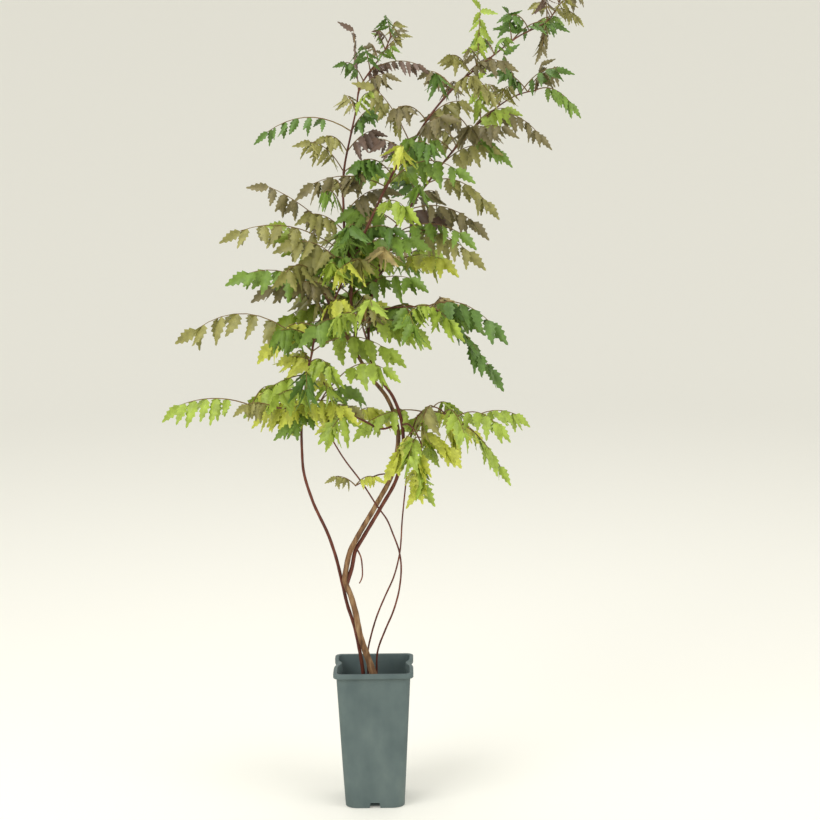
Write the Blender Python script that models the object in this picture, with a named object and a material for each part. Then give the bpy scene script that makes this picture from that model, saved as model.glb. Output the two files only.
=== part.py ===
# A climbing shrub with opposite, feather-shaped leaves, in a square nursery pot.
# Metres, +Z up, +X to the viewer's right, -Y towards the viewer.
# The origin is the centre of the pot's flat underside.
import bmesh
import bpy
import numpy as np
from mathutils import Vector
from mathutils.bvhtree import BVHTree

GAP = 0.0003  # clearance between neighbouring solids
UP = np.array([0.0, 0.0, 1.0])

# Pot: half widths of its square section, and heights.
POT_HEIGHT = 0.230
POT_FOOT = 0.0485
POT_NECK = 0.0600
POT_LIP = 0.0650
POT_LIP_HEIGHT = 0.008
POT_WALL = 0.0020
POT_FLOOR = 0.0030
POT_FOOT_CORNER = 0.020
POT_NECK_CORNER = 0.009
POT_CORNER_STEPS = 3
POT_SIDE_STEPS = 6
PINCH_DEPTH = 0.0065  # the left and right sides are pinched in near the rim
PINCH_Y = 0.008
PINCH_WIDTH = 0.013
PINCH_START = 0.198
NOTCH_WIDTH = 0.020  # drainage notch in the middle of each side's foot
NOTCH_TOP_WIDTH = 0.015
NOTCH_HEIGHT = 0.009
NOTCH_DEPTH = 0.012

# Soil: flat where the stems stand, a little lower at the wall.
SOIL_TOP = 0.190
SOIL_EDGE_DROP = 0.004
SOIL_FLAT = 0.036
GROUND = SOIL_TOP + GAP

# Tubes.
LIMB_SIDES = 6
STEM_SIDES = 5
RACHIS_SIDES = 3
LIMB_STEP = 0.022
STEM_STEP = 0.022
RACHIS_STEPS = 3
ROUTE_SAMPLES = 400
SEAT_STEP = 0.00015

# Leaves: a petiole and rachis in one arching curve, with hanging leaflets in pairs.
RACHIS_RADIUS = (0.0017, 0.0011)
FIRST_PAIR = 0.36  # where the leaflets begin and end along the rachis
LAST_PAIR = 0.93
STAGGER = 0.018
ROOT_SINK = 0.0004
LEAFLET_WIDEST = 0.42
LEAFLET_THICK = 0.0011
SPLAY = 0.50
FORWARD = 0.28
CLEAR = 0.0008  # leaves stay at least this clear of everything else
CROWN_LOW = (-0.345, -0.215, 0.485)
CROWN_HIGH = (0.355, 0.215, 1.335)

# Shoots. A route is a smooth curve through its points. "pieces" names each solid and the
# route point where it ends, and one that begins with "leaves" carries leaf pairs. "pairs"
# says where they stand, counted in route points, and "reach" moves one leaf's tip, given by
# its pair and side, to where the plant's outline needs it, with the arch of its rachis.
SHOOTS = {
    "old": dict(
        route=(
            (0.005, 0.000, GROUND), (-0.001, 0.000, 0.213), (-0.010, 0.000, 0.242),
            (-0.021, 0.001, 0.276), (-0.029, 0.002, 0.318), (-0.036, 0.001, 0.345),
            (-0.045, 0.000, 0.371), (-0.042, -0.001, 0.396), (-0.036, -0.002, 0.420),
            (-0.023, -0.002, 0.445), (0.007, -0.001, 0.496), (0.034, 0.000, 0.547),
            (0.042, 0.001, 0.580), (0.0445, 0.002, 0.612), (0.041, 0.003, 0.634),
            (0.027, 0.005, 0.671), (0.003, 0.006, 0.703), (-0.031, 0.007, 0.761),
            (-0.063, 0.008, 0.822), (-0.074, 0.012, 0.852), (-0.080, 0.018, 0.884),
        ),
        thick=(0.0054, 0.0021),
        flare=0.0062,
        pieces=(("stem_old_foot", 6), ("stem_old_diagonal", 13), ("stem_old_top", 18), ("leaves_old_tip", 20)),
        pairs=(18.9, 20),
        turn=70,
        leaf=(0.14, 0.12),
        lift=(0.15, 0.45),
        leaflet=(0.042, 0.040),
        slim=(0.50, 0.46),
        count=(1, 1),
        seed=11,
    ),
    "twin": dict(
        parent=("stem_old_foot", "stem_old_diagonal"),
        route=(
            (-0.042, 0.001, 0.366), (-0.0335, 0.004, 0.392), (-0.0272, 0.004, 0.420),
            (-0.0150, 0.002, 0.441), (0.0150, -0.001, 0.492), (0.0415, -0.003, 0.541),
            (0.0495, -0.005, 0.575), (0.0525, -0.006, 0.612), (0.049, -0.007, 0.640),
            (0.036, -0.008, 0.676), (0.018, -0.008, 0.702), (0.004, -0.007, 0.730),
            (-0.001, -0.006, 0.765), (0.000, -0.002, 0.800), (0.004, 0.004, 0.831),
            (0.015, 0.009, 0.871), (0.022, 0.014, 0.897), (0.037, 0.019, 0.934),
            (0.059, 0.024, 0.965), (0.100, 0.029, 1.019), (0.136, 0.035, 1.063),
            (0.153, 0.040, 1.081), (0.186, 0.045, 1.114), (0.245, 0.050, 1.153),
            (0.271, 0.055, 1.159),
        ),
        thick=(0.0034, 0.0010),
        pieces=(
            ("stem_twin", 8), ("bough_right", 14.4), ("leaves_right_low", 18.4),
            ("leaves_right_middle", 21.4), ("leaves_right_tip", 24),
        ),
        pairs=(15.2, 16.8, 18.1, 18.9, 20, 20.8, 21.9, 23, 24),
        turn=60,
        leaf=(0.15, 0.10),
        lift=(-0.1, 0.3),
        leaflet=(0.042, 0.030),
        slim=(0.46, 0.34),
        count=(1, 1),
        seed=23,
        reach={
            (1, 0): ((0.187, 0.000, 0.874), 0.35),
            (2, 0): ((0.194, 0.030, 0.921), 0.30),
            (3, 0): ((0.213, 0.045, 0.952), 0.38),
            (5, 0): ((0.232, 0.050, 1.036), 0.55),
            (6, 0): ((0.297, 0.060, 1.063), 0.45),
            (6, 1): ((0.196, 0.030, 1.196), 0.10),
            (7, 1): ((0.246, 0.050, 1.232), 0.12),
            (8, 0): ((0.345, 0.060, 1.113), 0.40),
            (8, 1): ((0.302, 0.060, 1.208), 0.10),
        },
    ),
    "arch": dict(
        route=(
            (-0.015, 0.012, GROUND), (-0.023, 0.012, 0.249), (-0.032, 0.012, 0.294),
            (-0.042, 0.012, 0.326), (-0.050, 0.012, 0.363), (-0.060, 0.010, 0.409),
            (-0.070, 0.008, 0.442), (-0.097, 0.005, 0.506), (-0.110, 0.003, 0.555),
            (-0.1115, 0.001, 0.586), (-0.111, -0.002, 0.630), (-0.105, -0.006, 0.674),
            (-0.100, -0.008, 0.716), (-0.093, -0.010, 0.742), (-0.088, -0.011, 0.766),
            (-0.079, -0.012, 0.788), (-0.066, -0.013, 0.816), (-0.051, -0.014, 0.840),
            (-0.042, -0.016, 0.862), (-0.038, -0.018, 0.885),
        ),
        thick=(0.0032, 0.0014),
        pieces=(
            ("stem_arch_low", 9), ("stem_arch_high", 11.5), ("leaves_arch_low", 13.6),
            ("leaves_arch_high", 16), ("leaves_arch_tip", 19),
        ),
        pairs=(11.9, 13.3, 14.8, 16.5, 17.8, 19),
        turn=80,
        leaf=(0.15, 0.13),
        lift=(-0.2, 0.2),
        leaflet=(0.044, 0.042),
        slim=(0.46, 0.48),
        count=(1, 1),
        seed=31,
        reach={
            (0, 0): ((-0.204, -0.010, 0.641), 0.18),
            (1, 0): ((-0.314, 0.000, 0.761), 0.44),
            (2, 0): ((-0.183, 0.020, 0.725), 0.50),
            (3, 0): ((-0.229, 0.000, 0.855), 0.32),
        },
    ),
    "left": dict(
        parent=("stem_old_top",),
        route=(
            (-0.027, 0.006, 0.752), (-0.022, 0.005, 0.778), (-0.028, 0.006, 0.822),
            (-0.028, 0.007, 0.895), (-0.036, 0.007, 0.921), (-0.038, 0.008, 0.965),
            (-0.037, 0.009, 1.033), (-0.024, 0.010, 1.097), (-0.016, 0.011, 1.132),
            (-0.010, 0.011, 1.165), (0.007, 0.012, 1.191), (0.031, 0.013, 1.224),
            (0.040, 0.014, 1.245),
        ),
        thick=(0.0026, 0.0010),
        pieces=(
            ("leaves_left_low", 2.85), ("leaves_left_middle", 5.5), ("leaves_left_high", 8.4),
            ("leaves_left_tip", 12),
        ),
        pairs=(0.9, 2.2, 3.05, 3.7, 5, 6, 7, 8.8, 10, 11, 12),
        turn=75,
        leaf=(0.15, 0.05),
        lift=(0.0, 0.4),
        leaflet=(0.042, 0.024),
        slim=(0.46, 0.28),
        count=(1, 1),
        seed=47,
        reach={
            (0, 1): ((-0.165, 0.020, 0.745), 0.35),
            (2, 1): ((-0.237, 0.000, 0.923), 0.30),
            (3, 1): ((-0.193, 0.000, 1.010), 0.15),
            (4, 0): ((0.056, 0.010, 0.995), 0.30),
            (5, 0): ((0.030, -0.050, 1.022), 0.25),
            (5, 1): ((-0.113, -0.050, 1.075), 0.30),
            (6, 0): ((0.034, 0.040, 1.128), 0.25),
            (6, 1): ((-0.180, 0.010, 1.077), 0.34),
            (7, 1): ((-0.044, 0.010, 1.268), 0.06),
            (8, 0): ((0.101, -0.010, 1.183), 0.25),
            (9, 0): ((0.075, 0.010, 1.243), 0.10),
            (9, 1): ((0.008, 0.015, 1.250), 0.10),
        },
    ),
    "middle": dict(
        parent=("leaves_left_middle",),
        route=(
            (-0.029, 0.006, 0.889), (-0.021, -0.003, 0.907), (-0.011, -0.008, 0.926),
            (0.030, -0.012, 1.010), (0.048, -0.017, 1.044), (0.070, -0.022, 1.075),
            (0.107, -0.027, 1.129), (0.147, -0.031, 1.172), (0.174, -0.036, 1.193),
            (0.194, -0.041, 1.208), (0.236, -0.046, 1.239), (0.286, -0.050, 1.267),
            (0.297, -0.055, 1.282), (0.302, -0.060, 1.300),
        ),
        thick=(0.0024, 0.0009),
        pieces=(
            ("leaves_middle_low", 3.5), ("leaves_middle_middle", 6.2), ("leaves_middle_high", 9),
            ("leaves_middle_tip", 13),
        ),
        pairs=(2.0, 3.0, 4.1, 5.0, 6.4, 7.2, 8.0, 9.8, 10.9, 11.9, 13),
        turn=85,
        leaf=(0.14, 0.06),
        lift=(-0.1, 0.35),
        leaflet=(0.042, 0.025),
        slim=(0.44, 0.28),
        count=(1, 1),
        seed=59,
        reach={
            (3, 1): ((-0.021, -0.040, 1.172), 0.20),
            (3, 0): ((0.150, -0.050, 1.110), 0.30),
            (5, 0): ((0.205, -0.070, 1.128), 0.45),
            (6, 1): ((0.165, -0.050, 1.300), 0.06),
            (7, 1): ((0.212, -0.080, 1.284), 0.05),
            (8, 0): ((0.262, -0.060, 1.196), 0.25),
            (9, 0): ((0.338, -0.060, 1.252), 0.25),
            (10, 1): ((0.282, -0.060, 1.330), 0.06),
        },
    ),
    "runner": dict(
        route=(
            (0.004, 0.024, GROUND), (0.007, 0.016, 0.250), (0.019, 0.008, 0.284),
            (0.034, 0.000, 0.321), (0.044, -0.006, 0.360), (0.0465, -0.010, 0.404),
            (0.044, -0.012, 0.421), (0.034, -0.0135, 0.451), (0.025, -0.0145, 0.474),
            (0.010, -0.0145, 0.496), (-0.015, -0.014, 0.536), (-0.044, -0.012, 0.576),
            (-0.069, -0.012, 0.620), (-0.080, -0.014, 0.641), (-0.083, -0.018, 0.656),
            (-0.074, -0.022, 0.679), (-0.056, -0.026, 0.701),
        ),
        thick=(0.0016, 0.0011),
        pieces=(("stem_runner_low", 6), ("stem_runner_high", 12.4), ("leaves_runner", 16)),
        pairs=(13.2, 14.6, 16),
        turn=150,
        leaf=(0.12, 0.12),
        lift=(-0.3, 0.1),
        leaflet=(0.044, 0.040),
        slim=(0.50, 0.46),
        count=(1, 1),
        seed=67,
        reach={(0, 1): ((-0.150, -0.050, 0.610), 0.30)},
    ),
    "thin": dict(
        route=(
            (-0.010, 0.026, GROUND), (-0.009, 0.020, 0.252), (-0.004, 0.017, 0.274),
            (0.006, 0.015, 0.307), (0.021, 0.013, 0.343), (0.034, 0.012, 0.372),
            (0.044, 0.011, 0.410), (0.0495, 0.012, 0.470), (0.056, 0.012, 0.530),
            (0.061, 0.010, 0.580), (0.067, 0.008, 0.615), (0.080, 0.004, 0.645),
            (0.101, 0.000, 0.656), (0.130, 0.000, 0.638), (0.150, 0.000, 0.626),
        ),
        thick=(0.0015, 0.0010),
        pieces=(("stem_thin", 10.4), ("leaves_low_right", 14)),
        pairs=(11.2, 12.6, 14),
        turn=20,
        leaf=(0.14, 0.12),
        lift=(-0.45, -0.2),
        leaflet=(0.040, 0.036),
        slim=(0.42, 0.40),
        count=(1, 1),
        seed=71,
        reach={
            (1, 0): ((0.151, 0.015, 0.566), 0.30),
            (2, 0): ((0.226, 0.000, 0.526), 0.22),
        },
    ),
    "right_side": dict(
        parent=("bough_right",),
        route=(
            (-0.001, -0.002, 0.806), (0.031, -0.010, 0.817), (0.058, -0.018, 0.820),
            (0.090, -0.024, 0.819), (0.113, -0.028, 0.813),
        ),
        thick=(0.0016, 0.0011),
        pieces=(("leaves_right_side", 4),),
        pairs=(1.9, 3, 4),
        turn=100,
        leaf=(0.13, 0.13),
        lift=(-0.5, -0.1),
        leaflet=(0.044, 0.042),
        slim=(0.46, 0.46),
        count=(1, 1),
        seed=83,
        reach={
            (1, 0): ((0.183, 0.010, 0.770), 0.35),
            (2, 0): ((0.214, -0.030, 0.683), 0.15),
        },
    ),
    "long_left": dict(
        parent=("stem_old_top",),
        route=(
            (0.043, 0.002, 0.628), (0.018, -0.012, 0.623), (-0.009, -0.019, 0.637),
            (-0.027, -0.021, 0.645), (-0.071, -0.026, 0.652), (-0.113, -0.028, 0.658),
            (-0.145, -0.028, 0.661), (-0.190, -0.026, 0.665),
        ),
        thick=(0.0017, 0.0011),
        pieces=(("bough_long_left", 2.3), ("leaves_long_left", 7)),
        pairs=(3, 5, 7),
        turn=60,
        leaf=(0.11, 0.10),
        lift=(-0.4, -0.1),
        leaflet=(0.044, 0.040),
        slim=(0.46, 0.40),
        count=(1, 1),
        seed=97,
        reach={(2, 0): ((-0.334, -0.020, 0.638), 0.20)},
    ),
    "hanging": dict(
        parent=("stem_twin",),
        route=((0.051, -0.007, 0.628), (0.060, -0.022, 0.632), (0.072, -0.036, 0.622), (0.082, -0.044, 0.602)),
        thick=(0.0015, 0.0011),
        pieces=(("leaves_hanging", 3),),
        pairs=(1.9, 3),
        turn=20,
        leaf=(0.11, 0.10),
        lift=(-0.7, -0.5),
        leaflet=(0.044, 0.042),
        slim=(0.50, 0.46),
        count=(1, 1),
        seed=101,
        reach={
            (0, 1): ((0.020, -0.050, 0.540), 0.30),
            (1, 0): ((0.100, -0.050, 0.500), 0.20),
            (1, 1): ((0.058, -0.060, 0.500), 0.15),
        },
    ),
    "front": dict(
        parent=("bough_right",),
        route=((-0.001, -0.006, 0.760), (-0.008, -0.034, 0.785), (-0.010, -0.064, 0.802), (-0.004, -0.096, 0.808)),
        thick=(0.0017, 0.0011),
        pieces=(("leaves_front", 3),),
        pairs=(1.6, 3),
        turn=10,
        leaf=(0.12, 0.12),
        lift=(-0.3, 0.0),
        leaflet=(0.044, 0.042),
        slim=(0.48, 0.46),
        count=(1, 1),
        seed=113,
    ),
    "back": dict(
        parent=("stem_old_top",),
        route=((-0.033, 0.007, 0.765), (-0.036, 0.034, 0.788), (-0.030, 0.068, 0.806), (-0.020, 0.102, 0.812)),
        thick=(0.0017, 0.0011),
        pieces=(("leaves_back", 3),),
        pairs=(1.6, 3),
        turn=0,
        leaf=(0.13, 0.12),
        lift=(-0.3, 0.0),
        leaflet=(0.044, 0.042),
        slim=(0.48, 0.46),
        count=(1, 1),
        seed=127,
    ),
    "back_right": dict(
        parent=("leaves_right_low",),
        route=((0.014, 0.009, 0.866), (0.030, 0.040, 0.880), (0.052, 0.075, 0.890), (0.072, 0.104, 0.892)),
        thick=(0.0016, 0.0011),
        pieces=(("leaves_back_right", 3),),
        pairs=(1.5, 3),
        turn=-20,
        leaf=(0.13, 0.12),
        lift=(-0.2, 0.1),
        leaflet=(0.042, 0.040),
        slim=(0.46, 0.44),
        count=(1, 1),
        seed=131,
    ),
    "pale_twig": dict(
        parent=("stem_old_diagonal",),
        route=((0.034, 0.000, 0.547), (0.014, -0.010, 0.548), (-0.008, -0.020, 0.541), (-0.026, -0.022, 0.532)),
        thick=(0.0012, 0.0010),
        pieces=(("leaves_pale_twig", 3),),
        pairs=(3,),
        turn=180,
        leaf=(0.05, 0.05),
        lift=(0.1, 0.1),
        leaflet=(0.022, 0.022),
        slim=(0.42, 0.42),
        count=(1, 1),
        seed=139,
    ),
    "dead": dict(
        parent=("stem_twin",),
        route=(
            (-0.026, 0.004, 0.424), (-0.019, -0.004, 0.412), (-0.0165, -0.007, 0.394),
            (-0.0175, -0.009, 0.376), (-0.0215, -0.009, 0.368),
        ),
        thick=(0.0014, 0.0010),
        pieces=(("twig_dead", 4),),
    ),
}

# Node name start: colour, roughness.
FINISHES = {
    "pot": ((0.115, 0.140, 0.125), 0.55),
    "soil": ((0.045, 0.030, 0.020), 0.95),
    "stem": ((0.220, 0.110, 0.060), 0.80),
    "bough": ((0.130, 0.045, 0.030), 0.65),
    "twig": ((0.080, 0.045, 0.030), 0.80),
    "leaves": ((0.230, 0.330, 0.060), 0.50),
}


def unit(vector):
    return vector / np.linalg.norm(vector, axis=-1, keepdims=True)


def lerp(pair, share):
    return pair[0] + (pair[1] - pair[0]) * share


def smoothstep(low, high, value):
    share = np.clip((value - low) / (high - low), 0.0, 1.0)
    return share * share * (3.0 - 2.0 * share)


def clear_scene():
    for item in list(bpy.data.objects):
        bpy.data.objects.remove(item, do_unlink=True)


def material_for(name):
    """The plain material of a node, found by how its name starts."""
    kind = name.split("_")[0]
    colour, roughness = FINISHES[kind]
    material = bpy.data.materials.new(name)
    material.use_nodes = True
    shader = material.node_tree.nodes["Principled BSDF"]
    shader.inputs["Base Color"].default_value = (*colour, 1.0)
    shader.inputs["Roughness"].default_value = roughness
    shader.inputs["Metallic"].default_value = 0.0
    return material


def mesh_from(name, points, faces):
    mesh = bpy.data.meshes.new(name)
    mesh.from_pydata([tuple(map(float, p)) for p in points], [], faces)
    mesh.update()
    return mesh


def add_object(name, mesh, smooth_angle=None):
    item = bpy.data.objects.new(name, mesh)
    bpy.context.scene.collection.objects.link(item)
    mesh.materials.append(material_for(name))
    if smooth_angle is not None:
        mesh.shade_smooth()
        mesh.set_sharp_from_angle(angle=smooth_angle)
    return item


# Curves and tubes


class Route:
    """A cubic curve through points, read by arc length."""

    def __init__(self, points):
        knots = np.array(points, float)
        chords = np.linalg.norm(np.diff(knots, axis=0), axis=1)
        at = np.concatenate([[0.0], np.cumsum(chords)])
        slopes = np.gradient(knots, at, axis=0)
        place = np.linspace(0.0, at[-1], ROUTE_SAMPLES)
        index = np.clip(np.searchsorted(at, place, side="right") - 1, 0, len(at) - 2)
        span = (at[index + 1] - at[index])[:, None]
        share = (place - at[index])[:, None] / span
        square = share * share
        cube = square * share
        self.points = (
            (2 * cube - 3 * square + 1) * knots[index]
            + (cube - 2 * square + share) * span * slopes[index]
            + (3 * square - 2 * cube) * knots[index + 1]
            + (cube - square) * span * slopes[index + 1]
        )
        steps = np.linalg.norm(np.diff(self.points, axis=0), axis=1)
        self.lengths = np.concatenate([[0.0], np.cumsum(steps)])
        self.length = self.lengths[-1]
        self.knots = np.interp(at, place, self.lengths)

    def at(self, distance):
        return np.stack([np.interp(distance, self.lengths, self.points[:, k]) for k in range(3)], axis=-1)

    def along(self, distance):
        ahead = np.minimum(distance + 0.001, self.length)
        behind = np.maximum(distance - 0.001, 0.0)
        return unit(self.at(ahead) - self.at(behind))

    def knot(self, count):
        """The distance to a place counted in route points, such as 2.5."""
        return float(np.interp(count, np.arange(len(self.knots)), self.knots))


def tube_rings(centres, tangents, radii, sides, start):
    """Rings round a curve, their first corner carried along without twisting."""
    rings = []
    normal = start - tangents[0] * (start @ tangents[0])
    turns = np.arange(sides) * 2.0 * np.pi / sides
    for centre, tangent, radius in zip(centres, tangents, radii):
        normal = unit(normal - tangent * (normal @ tangent))
        across = np.cross(tangent, normal)
        rings.append(centre + radius * (np.outer(np.cos(turns), normal) + np.outer(np.sin(turns), across)))
    return rings


def tube_faces(ring_count, sides):
    faces = []
    for ring in range(ring_count - 1):
        for k in range(sides):
            a = ring * sides + k
            b = ring * sides + (k + 1) % sides
            faces.append((a, b, b + sides, a + sides))
    faces.append(tuple(range(sides - 1, -1, -1)))
    last = (ring_count - 1) * sides
    faces.append(tuple(range(last, last + sides)))
    return faces


def tube(centres, tangents, radii, sides, start):
    rings = tube_rings(centres, tangents, radii, sides, start)
    return np.concatenate(rings), tube_faces(len(rings), sides)


def shoot_radius(shoot, distance):
    """Taper along a shoot, with a flare where the oldest stem leaves the soil."""
    share = distance / shoot["curve"].length
    flare = shoot.get("flare", 0.0) * np.exp(-distance / 0.014)
    return lerp(shoot["thick"], share) + flare


def piece_tube(shoot, begin, end, grow=0.0):
    """The tube of one piece of a shoot, from one distance to another."""
    curve = shoot["curve"]
    limb = not shoot["carries"]
    step = LIMB_STEP if limb else STEM_STEP
    count = max(2, int(np.ceil((end - begin) / step)) + 1)
    at = np.linspace(begin, end, count)
    if begin == 0.0 and "flare" in shoot:
        at = np.concatenate([at[:1], [0.006, 0.013], at[1:]])
    tangents = curve.along(at)
    if begin == 0.0:
        tangents[0] = UP
    sides = LIMB_SIDES if limb else STEM_SIDES
    start = np.array([0.0, 1.0, 0.0])
    if abs(tangents[0] @ start) > 0.8:
        start = -UP
    return tube(curve.at(at), tangents, shoot_radius(shoot, at) + grow, sides, start)


# Room: what is already placed, so that nothing touches


class Room:
    """Placed shapes with their boxes, each known by its owner's name."""

    def __init__(self):
        self.shapes = []

    def add(self, owner, points, faces):
        tree = BVHTree.FromPolygons([Vector(p) for p in points], faces)
        self.shapes.append((owner, points.min(axis=0), points.max(axis=0), tree))

    def touched(self, points, faces, ignore):
        low = points.min(axis=0)
        high = points.max(axis=0)
        tree = BVHTree.FromPolygons([Vector(p) for p in points], faces)
        for owner, other_low, other_high, other in self.shapes:
            if owner in ignore or (low > other_high).any() or (high < other_low).any():
                continue
            if tree.overlap(other):
                return True
        return False

    def tree(self, owner):
        return next(shape[3] for shape in self.shapes if shape[0] == owner)


def seat_on(parents, shoot):
    """The distance along a shoot where its ring first stands GAP clear of what bears it."""
    curve = shoot["curve"]
    turns = np.arange(12) * np.pi / 6
    for distance in np.arange(0.0, curve.length / 2, SEAT_STEP):
        tangent = curve.along(distance)
        across = unit(np.cross(tangent, UP if abs(tangent[2]) < 0.9 else np.array([0.0, 1.0, 0.0])))
        other = np.cross(tangent, across)
        ring = curve.at(distance) + shoot_radius(shoot, distance) * (
            np.outer(np.cos(turns), across) + np.outer(np.sin(turns), other)
        )
        clear = True
        for point in [*ring, curve.at(distance)]:
            for parent in parents:
                place, normal, _, away = parent.find_nearest(Vector(point))
                if away < GAP or (Vector(point) - place).dot(normal) < 0.0:
                    clear = False
        if clear:
            return distance
    raise ValueError("a shoot never leaves its parent")


# Leaves


def leaflet_solid(root, tip, across, width, grow=0.0):
    """A flattened octahedron from root to tip, widest nearer its root."""
    along = unit(tip - root)
    across = unit(across - along * (across @ along))
    normal = np.cross(along, across)
    middle = root + (tip - root) * LEAFLET_WIDEST
    half = across * (width / 2 + grow)
    thick = normal * (LEAFLET_THICK / 2 + grow)
    points = np.array([root, tip + along * grow, middle + half, middle - half, middle + thick, middle - thick])
    faces = [(0, 2, 4), (0, 4, 3), (0, 3, 5), (0, 5, 2), (1, 4, 2), (1, 3, 4), (1, 5, 3), (1, 2, 5)]
    return points, [tuple(reversed(face)) for face in faces]


def on_chords(points, share):
    """The place at a share of the way along a chain of straight chords."""
    place = share * (len(points) - 1)
    index = min(int(place), len(points) - 2)
    return points[index] + (points[index + 1] - points[index]) * (place - index)


def leaf_plan(base, tip, rise, size, slim, pairs, hang, draws):
    """A leaf from its base on the stem to the tip of its last leaflet: the rachis is a
    quadratic curve lifted in its middle, and the leaflets hang from it in pairs."""
    level = (tip - base) * np.array([1.0, 1.0, 0.0])
    if np.linalg.norm(level) < 0.25 * np.linalg.norm(tip - base):
        level = level + 0.25 * np.linalg.norm(tip - base) * unit(level + 1e-6)
    out = unit(level)
    climb = (tip - base)[2] / np.linalg.norm(tip - base)
    end_way = unit(out * 0.75 + UP * (climb - 0.55))
    end = tip - end_way * size
    span = np.linalg.norm(end - base)
    control = (base + end) / 2 + UP * rise * span
    share = np.linspace(0.0, 1.0, RACHIS_STEPS + 1)[:, None]
    points = (1 - share) ** 2 * base + 2 * share * (1 - share) * control + share**2 * end
    tangents = unit(2 * (1 - share) * (control - base) + 2 * share * (end - control))
    leaflets = [(end - end_way * 0.002, tip, unit(np.cross(end_way, np.cross(end_way, UP))), size * slim)]
    for k in range(pairs):
        place = FIRST_PAIR + (LAST_PAIR - FIRST_PAIR) * (k / max(pairs - 1, 1))
        for side in (-1.0, 1.0):
            draw = draws[2 * k + int(side > 0)]
            at = place + side * STAGGER + 0.008 * draw[0]
            root = on_chords(points, at)
            tangent = unit(2 * (1 - at) * (control - base) + 2 * at * (end - control))
            aside = unit(np.cross(tangent, UP)) * side
            way = unit(
                aside * (SPLAY + 0.22 * draw[1])
                - UP * (hang + 0.25 * draw[2])
                + tangent * (FORWARD + 0.20 * draw[3])
            )
            length = size * (0.84 + 0.24 * np.sin(np.pi * (k + 0.6) / pairs) + 0.12 * draw[4])
            leaflets.append((root - way * ROOT_SINK, root + way * length, tangent, length * slim))
    return dict(points=points, tangents=tangents, leaflets=leaflets)


def leaf_plans(shoot):
    """Every leaf of a shoot by its rule: opposite pairs, each pair a quarter turn on from the
    last, with lengths, lift and leaflets running from their low to their high value."""
    curve = shoot["curve"]
    rule = np.random.default_rng(shoot["seed"])
    count = len(shoot["pairs"])
    plans = []
    for index, knot in enumerate(shoot["pairs"]):
        share = index / max(count - 1, 1)
        distance = min(curve.knot(knot), curve.length - 0.001)
        for side in (0, 1):
            draws = rule.uniform(-1.0, 1.0, (12, 5))
            named = (index, side) in shoot.get("reach", {})
            if not named and (index + side) % 2:
                continue  # these leaves are left to the finer model
            turn = np.radians(shoot["turn"] + 90 * index + 180 * side + 14 * draws[9][0])
            length = lerp(shoot["leaf"], share) * (1.0 + 0.12 * draws[9][1])
            lift = lerp(shoot["lift"], share) + 0.12 * draws[9][2]
            base = curve.at(distance)
            level = np.sqrt(1.0 - lift * lift)
            tip = base + length * np.array([np.cos(turn) * level, np.sin(turn) * level, lift])
            rise = 0.32 + 0.12 * draws[9][3]
            pairs = int(round(lerp(shoot["count"], share)))
            if named:
                tip, rise = shoot["reach"][(index, side)]
                tip = np.array(tip)
                pairs += 1
            size = min(lerp(shoot["leaflet"], share), 0.42 * np.linalg.norm(tip - base))
            slim = lerp(shoot["slim"], share)
            hang = 0.85 - 0.25 * np.clip((base[2] - 1.1) / 0.2, 0.0, 1.0)
            plan = leaf_plan(base, tip, rise, size, slim, pairs, hang, draws)
            plan["distance"] = distance
            plan["named"] = named
            plan["number"] = 2 * index + side
            plans.append(plan)
    return plans


def inside_crown(points):
    return (points > np.array(CROWN_LOW)).all() and (points < np.array(CROWN_HIGH)).all()


def grow_leaf(plan, stem, room, tag, partner):
    """The closed solids of one leaf, or none where its rachis would touch something."""
    radii = lerp(RACHIS_RADIUS, np.linspace(0.0, 1.0, RACHIS_STEPS + 1))
    down = -UP
    points, faces = tube(plan["points"], plan["tangents"], radii, RACHIS_SIDES, down)
    grown, _ = tube(plan["points"], plan["tangents"], radii + CLEAR, RACHIS_SIDES, down)
    if not inside_crown(points) or room.touched(grown, faces, {stem, partner}):
        return []
    solids = [(points, faces)]
    room.add(tag, points, faces)
    for root, tip, across, width in plan["leaflets"]:
        wide, sides = leaflet_solid(root, tip, across, width, CLEAR)
        if inside_crown(wide) and not room.touched(wide, sides, {tag}):
            points, faces = leaflet_solid(root, tip, across, width)
            solids.append((points, faces))
    for points, faces in solids[1:]:
        room.add(tag, points, faces)
    return solids


# Solids


def one_body(item):
    """Keeps the largest piece of a joined mesh: loose scraps and sealed hollows go."""
    mesh = item.data
    shape = bmesh.new()
    shape.from_mesh(mesh)
    bmesh.ops.remove_doubles(shape, verts=shape.verts, dist=1e-6)
    bmesh.ops.dissolve_degenerate(shape, edges=shape.edges, dist=1e-6)
    bmesh.ops.triangulate(shape, faces=shape.faces)
    islands = []
    seen = set()
    for start in shape.verts:
        if start in seen:
            continue
        group = [start]
        seen.add(start)
        for vertex in group:
            for edge in vertex.link_edges:
                other = edge.other_vert(vertex)
                if other not in seen:
                    seen.add(other)
                    group.append(other)
        islands.append(group)
    islands.sort(key=len)
    for group in islands[:-1]:
        bmesh.ops.delete(shape, geom=group, context="VERTS")
    shape.to_mesh(mesh)
    shape.free()
    return len(islands) - 1


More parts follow.
